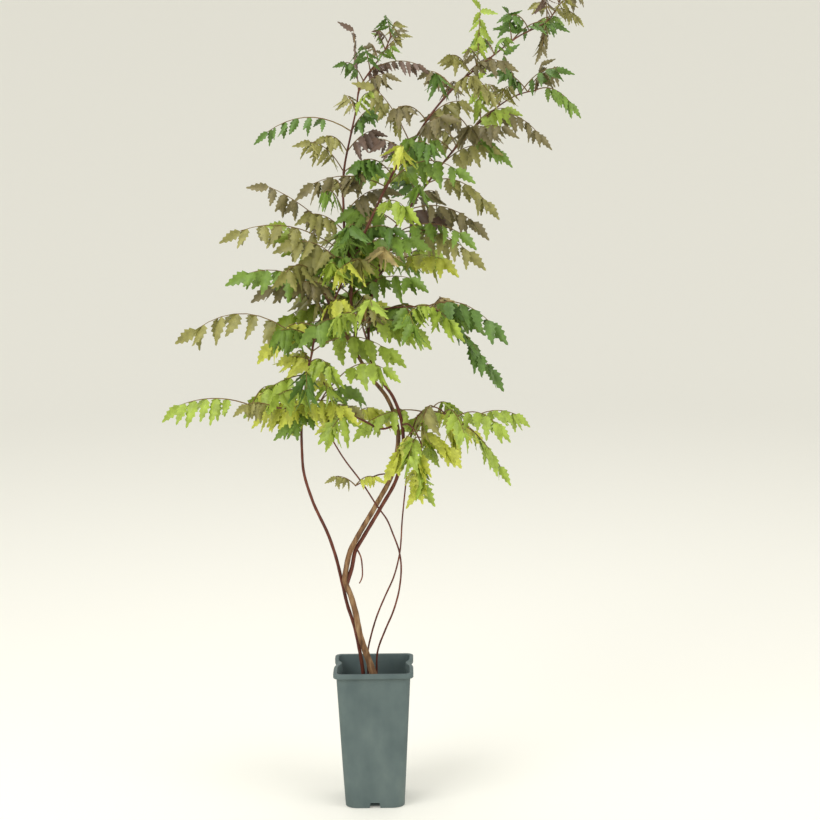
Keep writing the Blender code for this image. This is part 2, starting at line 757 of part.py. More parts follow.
def join_mass(name, stem, solids):
    """One Boolean union of a stem with the collection of its twigs and leaves."""
    item = add_object(name, mesh_from(name, *stem))
    parts = bpy.data.collections.new(name + "_parts")
    bpy.context.scene.collection.children.link(parts)
    for points, faces in solids:
        piece = bpy.data.objects.new(name + "_piece", mesh_from(name, points, faces))
        parts.objects.link(piece)
    union = item.modifiers.new("join", "BOOLEAN")
    union.operation = "UNION"
    union.operand_type = "COLLECTION"
    union.collection = parts
    union.solver = "EXACT"
    graph = bpy.context.evaluated_depsgraph_get()
    joined = bpy.data.meshes.new_from_object(item.evaluated_get(graph))
    item.modifiers.clear()
    item.data = joined
    for piece in list(parts.objects):
        bpy.data.objects.remove(piece, do_unlink=True)
    bpy.data.collections.remove(parts)
    loose = one_body(item)
    print(name, len(item.data.polygons), "faces,", len(solids), "joined,", loose, "loose")
    return item


def square_ring(half, corner, height, pinch=0.0):
    """A square with round corners; its left and right sides are drawn in near PINCH_Y."""
    points = []
    arc = np.linspace(0.0, np.pi / 2, POT_CORNER_STEPS + 1)
    for quarter in range(4):
        turn = quarter * np.pi / 2
        centre = (half - corner) * np.array([np.sqrt(2) * np.cos(turn + np.pi / 4), np.sqrt(2) * np.sin(turn + np.pi / 4)])
        for angle in arc + turn:
            points.append(centre + corner * np.array([np.cos(angle), np.sin(angle)]))
        here = points[-1]
        after = turn + np.pi / 2
        centre = (half - corner) * np.array([np.sqrt(2) * np.cos(after + np.pi / 4), np.sqrt(2) * np.sin(after + np.pi / 4)])
        there = centre + corner * np.array([np.cos(after), np.sin(after)])
        for share in np.arange(1, POT_SIDE_STEPS) / POT_SIDE_STEPS:
            points.append(here + (there - here) * share)
    ring = np.array(points)
    drawn = pinch * np.exp(-(((ring[:, 1] - PINCH_Y) / PINCH_WIDTH) ** 2))
    on_side = np.abs(ring[:, 0]) > half - 0.6 * corner
    ring[:, 0] -= np.sign(ring[:, 0]) * drawn * on_side
    return np.column_stack([ring, np.full(len(ring), height)])


def wall_half(height):
    """Half width of the pot's outside, which tapers straight from neck to foot."""
    return lerp((POT_FOOT, POT_NECK), height / (POT_HEIGHT - POT_LIP_HEIGHT))


def wall_corner(height):
    return lerp((POT_FOOT_CORNER, POT_NECK_CORNER), np.clip(height / 0.06, 0.0, 1.0) ** 0.7)


def wall_pinch(height):
    return PINCH_DEPTH * smoothstep(PINCH_START, POT_HEIGHT - POT_LIP_HEIGHT, height)


def loft(rings):
    points = np.concatenate(rings)
    return points, tube_faces(len(rings), len(rings[0]))


def make_pot(room):
    under_lip = POT_HEIGHT - POT_LIP_HEIGHT
    outside = (0.0025, 0.03, 0.07, PINCH_START, 0.209)
    inside = (0.222, 0.209, PINCH_START, 0.07, 0.03, POT_FLOOR)
    full = PINCH_DEPTH
    rings = [square_ring(POT_FOOT - 0.0015, POT_FOOT_CORNER, 0.0)]
    rings += [square_ring(wall_half(z), wall_corner(z), z, wall_pinch(z)) for z in outside]
    rings.append(square_ring(POT_NECK, POT_NECK_CORNER, under_lip, full))
    rings.append(square_ring(POT_LIP - 0.0006, POT_NECK_CORNER + 0.002, under_lip + 0.0004, full))
    rings.append(square_ring(POT_LIP, POT_NECK_CORNER + 0.002, POT_HEIGHT - 0.0012, full))
    rings.append(square_ring(POT_LIP - 0.0014, POT_NECK_CORNER + 0.001, POT_HEIGHT, full))
    rings.append(square_ring(POT_NECK - POT_WALL + 0.001, POT_NECK_CORNER, POT_HEIGHT, full))
    rings += [
        square_ring(wall_half(z) - POT_WALL, wall_corner(z) - POT_WALL / 2, z, wall_pinch(z)) for z in inside
    ]
    points, faces = loft(rings)
    pot = add_object("pot", mesh_from("pot", points, faces), np.radians(35))
    cutters = bpy.data.collections.new("pot_cutters")
    bpy.context.scene.collection.children.link(cutters)
    for quarter in range(4):
        low = NOTCH_WIDTH / 2
        high = NOTCH_TOP_WIDTH / 2
        inner = POT_FOOT - NOTCH_DEPTH
        outer = POT_FOOT + 0.01
        wedge = np.array([
            (inner, -low, -0.01), (inner, low, -0.01), (inner, high, NOTCH_HEIGHT), (inner, -high, NOTCH_HEIGHT),
            (outer, -low, -0.01), (outer, low, -0.01), (outer, high, NOTCH_HEIGHT), (outer, -high, NOTCH_HEIGHT),
        ])
        turn = quarter * np.pi / 2
        spin = np.array([[np.cos(turn), np.sin(turn), 0], [-np.sin(turn), np.cos(turn), 0], [0, 0, 1.0]])
        box = [(3, 2, 1, 0), (4, 5, 6, 7), (0, 1, 5, 4), (2, 3, 7, 6), (1, 2, 6, 5), (3, 0, 4, 7)]
        cutter = bpy.data.objects.new("notch", mesh_from("notch", wedge @ spin, box))
        cutters.objects.link(cutter)
    cut = pot.modifiers.new("notches", "BOOLEAN")
    cut.operation = "DIFFERENCE"
    cut.operand_type = "COLLECTION"
    cut.collection = cutters
    cut.solver = "EXACT"
    graph = bpy.context.evaluated_depsgraph_get()
    finished = bpy.data.meshes.new_from_object(pot.evaluated_get(graph))
    pot.modifiers.clear()
    pot.data = finished
    for cutter in list(cutters.objects):
        bpy.data.objects.remove(cutter, do_unlink=True)
    bpy.data.collections.remove(cutters)
    room.add("pot", points, faces)
    print("pot", len(finished.polygons), "faces")


def make_soil(room):
    low = POT_FLOOR + GAP
    edge = SOIL_TOP - SOIL_EDGE_DROP
    heights = (low, 0.03, 0.07, edge)
    rings = [
        square_ring(wall_half(z) - POT_WALL - GAP, wall_corner(z) - POT_WALL / 2, z) for z in heights
    ]
    rings.append(square_ring(SOIL_FLAT, POT_NECK_CORNER, SOIL_TOP))
    points, faces = loft(rings)
    add_object("soil", mesh_from("soil", points, faces))
    room.add("soil", points, faces)


def make_shoots(room):
    """Limbs and the masses' own stems first, then the leaves, then the unions."""
    stems = {}
    for shoot in SHOOTS.values():
        shoot["curve"] = Route(shoot["route"])
        curve = shoot["curve"]
        begin = 0.0
        if "parent" in shoot:
            begin = seat_on([room.tree(name) for name in shoot["parent"]], shoot)
        shoot["spans"] = []
        for name, knot in shoot["pieces"]:
            shoot["carries"] = name.startswith("leaves")
            end = curve.length if name == shoot["pieces"][-1][0] else curve.knot(knot)
            points, faces = piece_tube(shoot, begin, end)
            stems[name] = (points, faces)
            room.add(name, points, faces)
            shoot["spans"].append((name, begin, end))
            begin = end + GAP
    leaves = {name: [] for name in stems}
    growing = [shoot for shoot in SHOOTS.values() if "pairs" in shoot]
    for wanted in (True, False):
        for shoot in growing:
            for plan in leaf_plans(shoot):
                number = plan["number"]
                if plan["named"] != wanted:
                    continue
                name = next(n for n, _, end in shoot["spans"] if plan["distance"] <= end + GAP)
                tag = name + "_leaf_" + str(number)
                partner = name + "_leaf_" + str(number ^ 1)
                grown = grow_leaf(plan, name, room, tag, partner)
                if wanted and len(grown) < 6:
                    print("short:", tag, len(grown))
                leaves[name] += grown
    total = 0
    for name, stem in stems.items():
        if leaves[name]:
            join_mass(name, stem, leaves[name])
            total += sum(len(points) == 6 for points, _ in leaves[name])
        else:
            add_object(name, mesh_from(name, *stem), np.radians(40))
    print(total, "leaflets")


def main():
    clear_scene()
    room = Room()
    make_pot(room)
    make_soil(room)
    make_shoots(room)


main()
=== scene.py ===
# A climbing shrub with opposite, feather-shaped, toothed leaves, in a square nursery pot.
import math
import bpy
import numpy as np
from mathutils import Euler, Matrix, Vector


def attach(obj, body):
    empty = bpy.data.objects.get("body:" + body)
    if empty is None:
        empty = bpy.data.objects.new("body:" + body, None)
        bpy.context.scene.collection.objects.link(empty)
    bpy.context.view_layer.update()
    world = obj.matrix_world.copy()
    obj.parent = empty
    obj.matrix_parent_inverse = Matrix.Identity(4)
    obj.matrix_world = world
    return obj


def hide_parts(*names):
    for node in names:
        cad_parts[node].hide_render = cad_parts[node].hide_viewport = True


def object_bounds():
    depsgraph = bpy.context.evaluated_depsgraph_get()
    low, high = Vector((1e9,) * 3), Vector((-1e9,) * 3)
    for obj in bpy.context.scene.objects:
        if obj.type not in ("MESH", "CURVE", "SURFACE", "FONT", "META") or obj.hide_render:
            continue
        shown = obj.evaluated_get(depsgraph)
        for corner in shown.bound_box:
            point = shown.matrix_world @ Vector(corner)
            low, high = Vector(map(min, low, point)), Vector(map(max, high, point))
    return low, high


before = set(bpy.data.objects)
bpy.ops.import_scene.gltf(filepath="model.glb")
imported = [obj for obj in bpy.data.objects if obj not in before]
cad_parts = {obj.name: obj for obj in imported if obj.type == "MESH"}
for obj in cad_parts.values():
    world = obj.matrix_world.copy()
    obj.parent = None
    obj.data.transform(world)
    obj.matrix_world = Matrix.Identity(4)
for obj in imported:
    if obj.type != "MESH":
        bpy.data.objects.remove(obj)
cadBounds = [[float(v) for v in corner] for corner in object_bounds()]
print("frame loaded:", len(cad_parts), "nodes, box", cadBounds)

up = np.array([0.0, 0.0, 1.0])
ground = 0.1903  # the soil's top where the stems leave it

# Each shoot is one smooth curve through its route. "pieces" names the solids it stands for, "pairs"
# where its opposite leaves grow, counted in route points, and "reach" the tip and arch of single leaves.
# Two values run from the shoot's root to its tip: "thick" is its radius, "leaf" and "leaflet" are
# lengths, "lift" is how steeply a leaf rises, and "slim" is a leaflet's width over its length.
shoots = {
    "old": dict(
        route=(
            (0.005, 0.000, ground), (-0.001, 0.000, 0.213), (-0.010, 0.000, 0.242),
            (-0.021, 0.001, 0.276), (-0.029, 0.002, 0.318), (-0.036, 0.001, 0.345),
            (-0.045, 0.000, 0.371), (-0.042, -0.001, 0.396), (-0.036, -0.002, 0.420),
            (-0.023, -0.002, 0.445), (0.007, -0.001, 0.496), (0.034, 0.000, 0.547),
            (0.042, 0.001, 0.580), (0.0445, 0.002, 0.612), (0.041, 0.003, 0.634),
            (0.027, 0.005, 0.671), (0.003, 0.006, 0.703), (-0.031, 0.007, 0.761),
            (-0.063, 0.008, 0.822), (-0.074, 0.012, 0.852), (-0.080, 0.018, 0.884),
        ),
        thick=(0.0054, 0.0021),
        flare=0.0062,
        pieces=(
            ("stem_old_foot", 6), ("stem_old_diagonal", 13),
            ("stem_old_top", 18), ("leaves_old_tip", 20),
        ),
        pairs=(18.9, 20),
        turn=70,
        leaf=(0.14, 0.12),
        lift=(0.15, 0.45),
        leaflet=(0.042, 0.040),
        slim=(0.50, 0.46),
        seed=11,
    ),
    "twin": dict(
        route=(
            (-0.042, 0.001, 0.366), (-0.0335, 0.004, 0.392), (-0.0272, 0.004, 0.420),
            (-0.0150, 0.002, 0.441), (0.0150, -0.001, 0.492), (0.0415, -0.003, 0.541),
            (0.0495, -0.005, 0.575), (0.0525, -0.006, 0.612), (0.049, -0.007, 0.640),
            (0.036, -0.008, 0.676), (0.018, -0.008, 0.702), (0.004, -0.007, 0.730),
            (-0.001, -0.006, 0.765), (0.000, -0.002, 0.800), (0.004, 0.004, 0.831),
            (0.015, 0.009, 0.871), (0.022, 0.014, 0.897), (0.037, 0.019, 0.934),
            (0.059, 0.024, 0.965), (0.100, 0.029, 1.019), (0.136, 0.035, 1.063),
            (0.153, 0.040, 1.081), (0.186, 0.045, 1.114), (0.245, 0.050, 1.153),
            (0.271, 0.055, 1.159),
        ),
        thick=(0.0034, 0.0010),
        pieces=(
            ("stem_twin", 8), ("bough_right", 14.4), ("leaves_right_low", 18.4),
            ("leaves_right_middle", 21.4), ("leaves_right_tip", 24),
        ),
        pairs=(15.2, 16.8, 18.1, 18.9, 20, 20.8, 21.9, 23, 24),
        turn=60,
        leaf=(0.15, 0.10),
        lift=(-0.1, 0.3),
        leaflet=(0.042, 0.030),
        slim=(0.46, 0.34),
        seed=23,
        reach={
            (1, 0): ((0.187, 0.000, 0.874), 0.35),
            (2, 0): ((0.194, 0.030, 0.921), 0.30),
            (3, 0): ((0.213, 0.045, 0.952), 0.38),
            (5, 0): ((0.232, 0.050, 1.036), 0.55),
            (6, 0): ((0.297, 0.060, 1.063), 0.45),
            (6, 1): ((0.196, 0.030, 1.196), 0.10),
            (7, 1): ((0.246, 0.050, 1.232), 0.12),
            (8, 0): ((0.345, 0.060, 1.113), 0.40),
            (8, 1): ((0.302, 0.060, 1.208), 0.10),
        },
    ),
    "arch": dict(
        route=(
            (-0.015, 0.012, ground), (-0.023, 0.012, 0.249), (-0.032, 0.012, 0.294),
            (-0.042, 0.012, 0.326), (-0.050, 0.012, 0.363), (-0.060, 0.010, 0.409),
            (-0.070, 0.008, 0.442), (-0.097, 0.005, 0.506), (-0.110, 0.003, 0.555),
            (-0.1115, 0.001, 0.586), (-0.111, -0.002, 0.630), (-0.105, -0.006, 0.674),
            (-0.100, -0.008, 0.716), (-0.093, -0.010, 0.742), (-0.088, -0.011, 0.766),
            (-0.079, -0.012, 0.788), (-0.066, -0.013, 0.816), (-0.051, -0.014, 0.840),
            (-0.042, -0.016, 0.862), (-0.038, -0.018, 0.885),
        ),
        thick=(0.0032, 0.0014),
        pieces=(
            ("stem_arch_low", 9), ("stem_arch_high", 11.5), ("leaves_arch_low", 13.6),
            ("leaves_arch_high", 16), ("leaves_arch_tip", 19),
        ),
        pairs=(11.9, 13.3, 14.8, 16.5, 17.8, 19),
        turn=80,
        leaf=(0.15, 0.13),
        lift=(-0.2, 0.2),
        leaflet=(0.044, 0.042),
        slim=(0.46, 0.48),
        seed=31,
        reach={
            (0, 0): ((-0.204, -0.010, 0.641), 0.18),
            (1, 0): ((-0.314, 0.000, 0.761), 0.44),
            (2, 0): ((-0.183, 0.020, 0.725), 0.50),
            (3, 0): ((-0.229, 0.000, 0.855), 0.32),
        },
    ),
    "left": dict(
        route=(
            (-0.027, 0.006, 0.752), (-0.022, 0.005, 0.778), (-0.028, 0.006, 0.822),
            (-0.028, 0.007, 0.895), (-0.036, 0.007, 0.921), (-0.038, 0.008, 0.965),
            (-0.037, 0.009, 1.033), (-0.024, 0.010, 1.097), (-0.016, 0.011, 1.132),
            (-0.010, 0.011, 1.165), (0.007, 0.012, 1.191), (0.031, 0.013, 1.224),
            (0.040, 0.014, 1.245),
        ),
        thick=(0.0026, 0.0010),
        pieces=(
            ("leaves_left_low", 2.85), ("leaves_left_middle", 5.5), ("leaves_left_high", 8.4),
            ("leaves_left_tip", 12),
        ),
        pairs=(0.9, 2.2, 3.05, 3.7, 5, 6, 7, 8.8, 10, 11, 12),
        turn=75,
        leaf=(0.15, 0.05),
        lift=(0.0, 0.4),
        leaflet=(0.042, 0.024),
        slim=(0.46, 0.28),
        seed=47,
        reach={
            (0, 1): ((-0.165, 0.020, 0.745), 0.35),
            (2, 1): ((-0.237, 0.000, 0.923), 0.30),
            (3, 1): ((-0.193, 0.000, 1.010), 0.15),
            (4, 0): ((0.056, 0.010, 0.995), 0.30),
            (5, 0): ((0.030, -0.050, 1.022), 0.25),
            (5, 1): ((-0.113, -0.050, 1.075), 0.30),
            (6, 0): ((0.034, 0.040, 1.128), 0.25),
            (6, 1): ((-0.180, 0.010, 1.077), 0.34),
            (7, 1): ((-0.044, 0.010, 1.268), 0.06),
            (8, 0): ((0.101, -0.010, 1.183), 0.25),
            (9, 0): ((0.075, 0.010, 1.243), 0.10),
            (9, 1): ((0.008, 0.015, 1.250), 0.10),
        },
    ),
    "middle": dict(
        route=(
            (-0.029, 0.006, 0.889), (-0.021, -0.003, 0.907), (-0.011, -0.008, 0.926),
            (0.030, -0.012, 1.010), (0.048, -0.017, 1.044), (0.070, -0.022, 1.075),
            (0.107, -0.027, 1.129), (0.147, -0.031, 1.172), (0.174, -0.036, 1.193),
            (0.194, -0.041, 1.208), (0.236, -0.046, 1.239), (0.286, -0.050, 1.267),
            (0.297, -0.055, 1.282), (0.302, -0.060, 1.300),
        ),
        thick=(0.0024, 0.0009),
        pieces=(
            ("leaves_middle_low", 3.5), ("leaves_middle_middle", 6.2), ("leaves_middle_high", 9),
            ("leaves_middle_tip", 13),
        ),
        pairs=(2.0, 3.0, 4.1, 5.0, 6.4, 7.2, 8.0, 9.8, 10.9, 11.9, 13),
        turn=85,
        leaf=(0.14, 0.06),
        lift=(-0.1, 0.35),
        leaflet=(0.042, 0.025),
        slim=(0.44, 0.28),
        seed=59,
        reach={
            (3, 1): ((-0.021, -0.040, 1.172), 0.20),
            (3, 0): ((0.150, -0.050, 1.110), 0.30),
            (5, 0): ((0.205, -0.070, 1.128), 0.45),
            (6, 1): ((0.165, -0.050, 1.300), 0.06),
            (7, 1): ((0.212, -0.080, 1.284), 0.05),
            (8, 0): ((0.262, -0.060, 1.196), 0.25),
            (9, 0): ((0.338, -0.060, 1.252), 0.25),
            (10, 1): ((0.282, -0.060, 1.330), 0.06),
        },
    ),
    "runner": dict(
        route=(
            (0.004, 0.024, ground), (0.007, 0.016, 0.250), (0.019, 0.008, 0.284),
            (0.034, 0.000, 0.321), (0.044, -0.006, 0.360), (0.0465, -0.010, 0.404),
            (0.044, -0.012, 0.421), (0.034, -0.0135, 0.451), (0.025, -0.0145, 0.474),
            (0.010, -0.0145, 0.496), (-0.015, -0.014, 0.536), (-0.044, -0.012, 0.576),
            (-0.069, -0.012, 0.620), (-0.080, -0.014, 0.641), (-0.083, -0.018, 0.656),
            (-0.074, -0.022, 0.679), (-0.056, -0.026, 0.701),
        ),
        thick=(0.0016, 0.0011),
        pieces=(("stem_runner_low", 6), ("stem_runner_high", 12.4), ("leaves_runner", 16)),
        pairs=(13.2, 14.6, 16),
        turn=150,
        leaf=(0.12, 0.12),
        lift=(-0.3, 0.1),
        leaflet=(0.044, 0.040),
        slim=(0.50, 0.46),
        seed=67,
        reach={(0, 1): ((-0.150, -0.050, 0.610), 0.30)},
    ),
    "thin": dict(
        route=(
            (-0.010, 0.026, ground), (-0.009, 0.020, 0.252), (-0.004, 0.017, 0.274),
            (0.006, 0.015, 0.307), (0.021, 0.013, 0.343), (0.034, 0.012, 0.372),
            (0.044, 0.011, 0.410), (0.0495, 0.012, 0.470), (0.056, 0.012, 0.530),
            (0.061, 0.010, 0.580), (0.067, 0.008, 0.615), (0.080, 0.004, 0.645),
            (0.101, 0.000, 0.656), (0.130, 0.000, 0.638), (0.150, 0.000, 0.626),
        ),
        thick=(0.0015, 0.0010),
        pieces=(("stem_thin", 10.4), ("leaves_low_right", 14)),
        pairs=(11.2, 12.6, 14),
        turn=20,
        leaf=(0.14, 0.12),
        lift=(-0.45, -0.2),
        leaflet=(0.040, 0.036),
        slim=(0.42, 0.40),
        seed=71,
        reach={
            (1, 0): ((0.151, 0.015, 0.566), 0.30),
            (2, 0): ((0.226, 0.000, 0.526), 0.22),
        },
    ),
    "right_side": dict(
        route=(
            (-0.001, -0.002, 0.806), (0.031, -0.010, 0.817), (0.058, -0.018, 0.820),
            (0.090, -0.024, 0.819), (0.113, -0.028, 0.813),
        ),
        thick=(0.0016, 0.0011),
        pieces=(("leaves_right_side", 4),),
        pairs=(1.9, 3, 4),
        turn=100,
        leaf=(0.13, 0.13),
        lift=(-0.5, -0.1),
        leaflet=(0.044, 0.042),
        slim=(0.46, 0.46),
        seed=83,
        reach={
            (1, 0): ((0.183, 0.010, 0.770), 0.35),
            (2, 0): ((0.214, -0.030, 0.683), 0.15),
        },
    ),
    "long_left": dict(
        route=(
            (0.043, 0.002, 0.628), (0.018, -0.012, 0.623), (-0.009, -0.019, 0.637),
            (-0.027, -0.021, 0.645), (-0.071, -0.026, 0.652), (-0.113, -0.028, 0.658),
            (-0.145, -0.028, 0.661), (-0.190, -0.026, 0.665),
        ),
        thick=(0.0017, 0.0011),
        pieces=(("bough_long_left", 2.3), ("leaves_long_left", 7)),
        pairs=(3, 5, 7),
        turn=60,
        leaf=(0.11, 0.10),
        lift=(-0.4, -0.1),
        leaflet=(0.044, 0.040),
        slim=(0.46, 0.40),
        seed=97,
        reach={(2, 0): ((-0.334, -0.020, 0.638), 0.20)},
    ),
    "hanging": dict(
        route=(
            (0.051, -0.007, 0.628), (0.060, -0.022, 0.632), (0.072, -0.036, 0.622),
            (0.082, -0.044, 0.602),
        ),
        thick=(0.0015, 0.0011),
        pieces=(("leaves_hanging", 3),),
        pairs=(1.9, 3),
        turn=20,
        leaf=(0.11, 0.10),
        lift=(-0.7, -0.5),
        leaflet=(0.044, 0.042),
        slim=(0.50, 0.46),
        seed=101,
        reach={
            (0, 1): ((0.020, -0.050, 0.540), 0.30),
            (1, 0): ((0.100, -0.050, 0.500), 0.20),
            (1, 1): ((0.058, -0.060, 0.500), 0.15),
        },
    ),
    "front": dict(
        route=(
            (-0.001, -0.006, 0.760), (-0.008, -0.034, 0.785), (-0.010, -0.064, 0.802),
            (-0.004, -0.096, 0.808),
        ),
        thick=(0.0017, 0.0011),
        pieces=(("leaves_front", 3),),
        pairs=(1.6, 3),
        turn=10,
        leaf=(0.12, 0.12),
        lift=(-0.3, 0.0),
        leaflet=(0.044, 0.042),
        slim=(0.48, 0.46),
        seed=113,
    ),
    "back": dict(
        route=(
            (-0.033, 0.007, 0.765), (-0.036, 0.034, 0.788), (-0.030, 0.068, 0.806),
            (-0.020, 0.102, 0.812),
        ),
        thick=(0.0017, 0.0011),
        pieces=(("leaves_back", 3),),
        pairs=(1.6, 3),
        turn=0,
        leaf=(0.13, 0.12),
        lift=(-0.3, 0.0),
        leaflet=(0.044, 0.042),
        slim=(0.48, 0.46),
        seed=127,
    ),
    "back_right": dict(
        route=((0.014, 0.009, 0.866), (0.030, 0.040, 0.880), (0.052, 0.075, 0.890), (0.072, 0.104, 0.892)),
        thick=(0.0016, 0.0011),
        pieces=(("leaves_back_right", 3),),
        pairs=(1.5, 3),
        turn=-20,
        leaf=(0.13, 0.12),
        lift=(-0.2, 0.1),
        leaflet=(0.042, 0.040),
        slim=(0.46, 0.44),
        seed=131,
    ),
    "pale_twig": dict(
        route=(
            (0.034, 0.000, 0.547), (0.014, -0.010, 0.548), (-0.008, -0.020, 0.541),
            (-0.026, -0.022, 0.532),
        ),
        thick=(0.0012, 0.0010),
        pieces=(("leaves_pale_twig", 3),),
        pairs=(3,),
        turn=180,
        leaf=(0.05, 0.05),
        lift=(0.1, 0.1),
        leaflet=(0.022, 0.022),
        slim=(0.42, 0.42),
        seed=139,
    ),
    "dead": dict(
        route=(
            (-0.026, 0.004, 0.424), (-0.019, -0.004, 0.412), (-0.0165, -0.007, 0.394),
            (-0.0175, -0.009, 0.376), (-0.0215, -0.009, 0.368),
        ),
        thick=(0.0014, 0.0010),
        pieces=(("twig_dead", 4),),
    ),
}


def unit(vectors):
    # Divides each vector by its length
    return vectors / np.maximum(np.linalg.norm(vectors, axis=-1, keepdims=True), 1e-9)


def lerp(pair, share):
    # A straight line from the first value to the second
    return pair[0] + (pair[1] - pair[0]) * share


def srgbToLinear(red, green, blue):
    # The power curve of 2.2 on each channel
    return tuple((value / 255.0) ** 2.2 for value in (red, green, blue))


def makeMesh(name, points, faces):
    # Puts an array of points and an array or list of faces into a smooth mesh object
    mesh = bpy.data.meshes.new(name)
    mesh.from_pydata(points.tolist(), [], faces.tolist() if isinstance(faces, np.ndarray) else faces)
    mesh.shade_smooth()
    item = bpy.data.objects.new(name, mesh)
    bpy.context.scene.collection.objects.link(item)
    return item


def gridFaces(rows, columns, wrapped):
    # Quads between neighbouring rows of a grid whose columns may close into a ring
    row = np.arange(rows - 1)[:, None] * columns
    column = np.arange(columns if wrapped else columns - 1)[None, :]
    right = (column + 1) % columns
    corners = [row + column, row + right, row + columns + right, row + columns + column]
    return np.stack([corner.ravel() for corner in corners], axis=1)


def joinGrids(grids, wrapped):
    # One array of points and one of quads for a batch of grids of the same size
    batch, rows, columns, _ = grids.shape
    faces = gridFaces(rows, columns, wrapped)
    faces = (faces[None] + (np.arange(batch) * rows * columns)[:, None, None]).reshape(-1, 4)
    return grids.reshape(-1, 3), faces


def finishPiece(item, material, replaced=()):
    # Gives a piece its material and its body, and hides the nodes that it stands for
    item.data.materials.append(material)
    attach(item, "root")
    if replaced:
        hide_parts(*replaced)


# Curves

curveSamples = 600  # points along each curve


def smoothCurve(points):
    # Cubic pieces through the points, whose slope at each is that of its neighbours' chord
    knots = np.array(points, float)
    at = np.concatenate([[0.0], np.cumsum(np.linalg.norm(np.diff(knots, axis=0), axis=1))])
    slopes = np.gradient(knots, at, axis=0)
    place = np.linspace(0.0, at[-1], curveSamples)
    index = np.clip(np.searchsorted(at, place, side="right") - 1, 0, len(at) - 2)
    span = (at[index + 1] - at[index])[:, None]
    share = (place - at[index])[:, None] / span
    line = (
        (2 * share**3 - 3 * share**2 + 1) * knots[index]
        + (share**3 - 2 * share**2 + share) * span * slopes[index]
        + (3 * share**2 - 2 * share**3) * knots[index + 1]
        + (share**3 - share**2) * span * slopes[index + 1]
    )
    lengths = np.concatenate([[0.0], np.cumsum(np.linalg.norm(np.diff(line, axis=0), axis=1))])
    return {"line": line, "lengths": lengths, "knots": np.interp(at, place, lengths)}


def curveAt(curve, distance):
    # The point at each distance along the curve
    axes = [np.interp(distance, curve["lengths"], curve["line"][:, axis]) for axis in range(3)]
    return np.stack(axes, axis=-1)


def knotAt(curve, count):
    # The distance of a place counted in route points
    return float(np.interp(count, np.arange(len(curve["knots"])), curve["knots"]))


def tubes(centres, radii, sides, start, relief=1.0):
    # Rings of a radius round each path of a batch, square to it, their first corner towards start
    tangents = unit(np.gradient(centres, axis=-2))
    first = unit(start - tangents * (tangents @ start)[..., None])
    second = np.cross(tangents, first)
    turn = np.arange(sides) * 2.0 * np.pi / sides
    ring = np.cos(turn)[:, None] * first[..., None, :] + np.sin(turn)[:, None] * second[..., None, :]
    return centres[..., None, :] + ring * (radii[..., None] * relief)[..., None]


def closeEnds(grid):
    # Adds a ring of no size at each end of one tube, at the mean of the ring there
    first = np.repeat(grid[:1].mean(axis=1, keepdims=True), grid.shape[1], axis=1)
    last = np.repeat(grid[-1:].mean(axis=1, keepdims=True), grid.shape[1], axis=1)
    return np.concatenate([first, grid, last])


# Materials

noiseDetail = 6.0  # of the colours
bumpDetail = 4.0
bumpHeight = 0.0006  # metres
leafMottle = ((0.35, 0.80), (0.65, 1.18))  # places on the ramp, and shares of the tint there


def newMaterial(name, roughness, specular=0.4):
    # A plain shader of one roughness
    material = bpy.data.materials.new(name)
    material.use_nodes = True
    shader = material.node_tree.nodes["Principled BSDF"]
    shader.inputs["Roughness"].default_value = roughness
    shader.inputs["Specular IOR Level"].default_value = specular
    return material, shader


def patterned(name, stops, scale, stretch, roughness, bump, bumpScale):
    # A noise on Object coordinates, squeezed by stretch, coloured through a ramp, with a finer bump
    material, shader = newMaterial(name, roughness)
    nodes = material.node_tree.nodes
    links = material.node_tree.links
    place = nodes.new("ShaderNodeTexCoord")
    squeeze = nodes.new("ShaderNodeMapping")
    squeeze.inputs["Scale"].default_value = stretch
    noise = nodes.new("ShaderNodeTexNoise")
    noise.inputs["Scale"].default_value = scale
    noise.inputs["Detail"].default_value = noiseDetail
    ramp = nodes.new("ShaderNodeValToRGB")
    ramp.color_ramp.elements[0].position = stops[0][0]
    ramp.color_ramp.elements[0].color = (*stops[0][1], 1.0)
    ramp.color_ramp.elements[1].position = stops[-1][0]
    ramp.color_ramp.elements[1].color = (*stops[-1][1], 1.0)
    for position, colour in stops[1:-1]:
        ramp.color_ramp.elements.new(position).color = (*colour, 1.0)
    fine = nodes.new("ShaderNodeTexNoise")
    fine.inputs["Scale"].default_value = bumpScale
    fine.inputs["Detail"].default_value = bumpDetail
    lift = nodes.new("ShaderNodeBump")
    lift.inputs["Strength"].default_value = bump
    lift.inputs["Distance"].default_value = bumpHeight
    links.new(place.outputs["Object"], squeeze.inputs["Vector"])
    links.new(squeeze.outputs["Vector"], noise.inputs["Vector"])
    links.new(squeeze.outputs["Vector"], fine.inputs["Vector"])
    links.new(noise.outputs["Fac"], ramp.inputs["Fac"])
    links.new(ramp.outputs["Color"], shader.inputs["Base Color"])
    links.new(fine.outputs["Fac"], lift.inputs["Height"])
    links.new(lift.outputs["Normal"], shader.inputs["Normal"])
    return material


def leafMaterial(name, colour):
    # Two near tones of one tint in a soft mottle, with a slight blistering
    stops = [(place, [min(1.0, value * share) for value in colour]) for place, share in leafMottle]
    return patterned(
        name, stops,
        scale=90.0, stretch=(1.0, 1.0, 1.0), roughness=0.46, bump=0.35, bumpScale=420.0,
    )


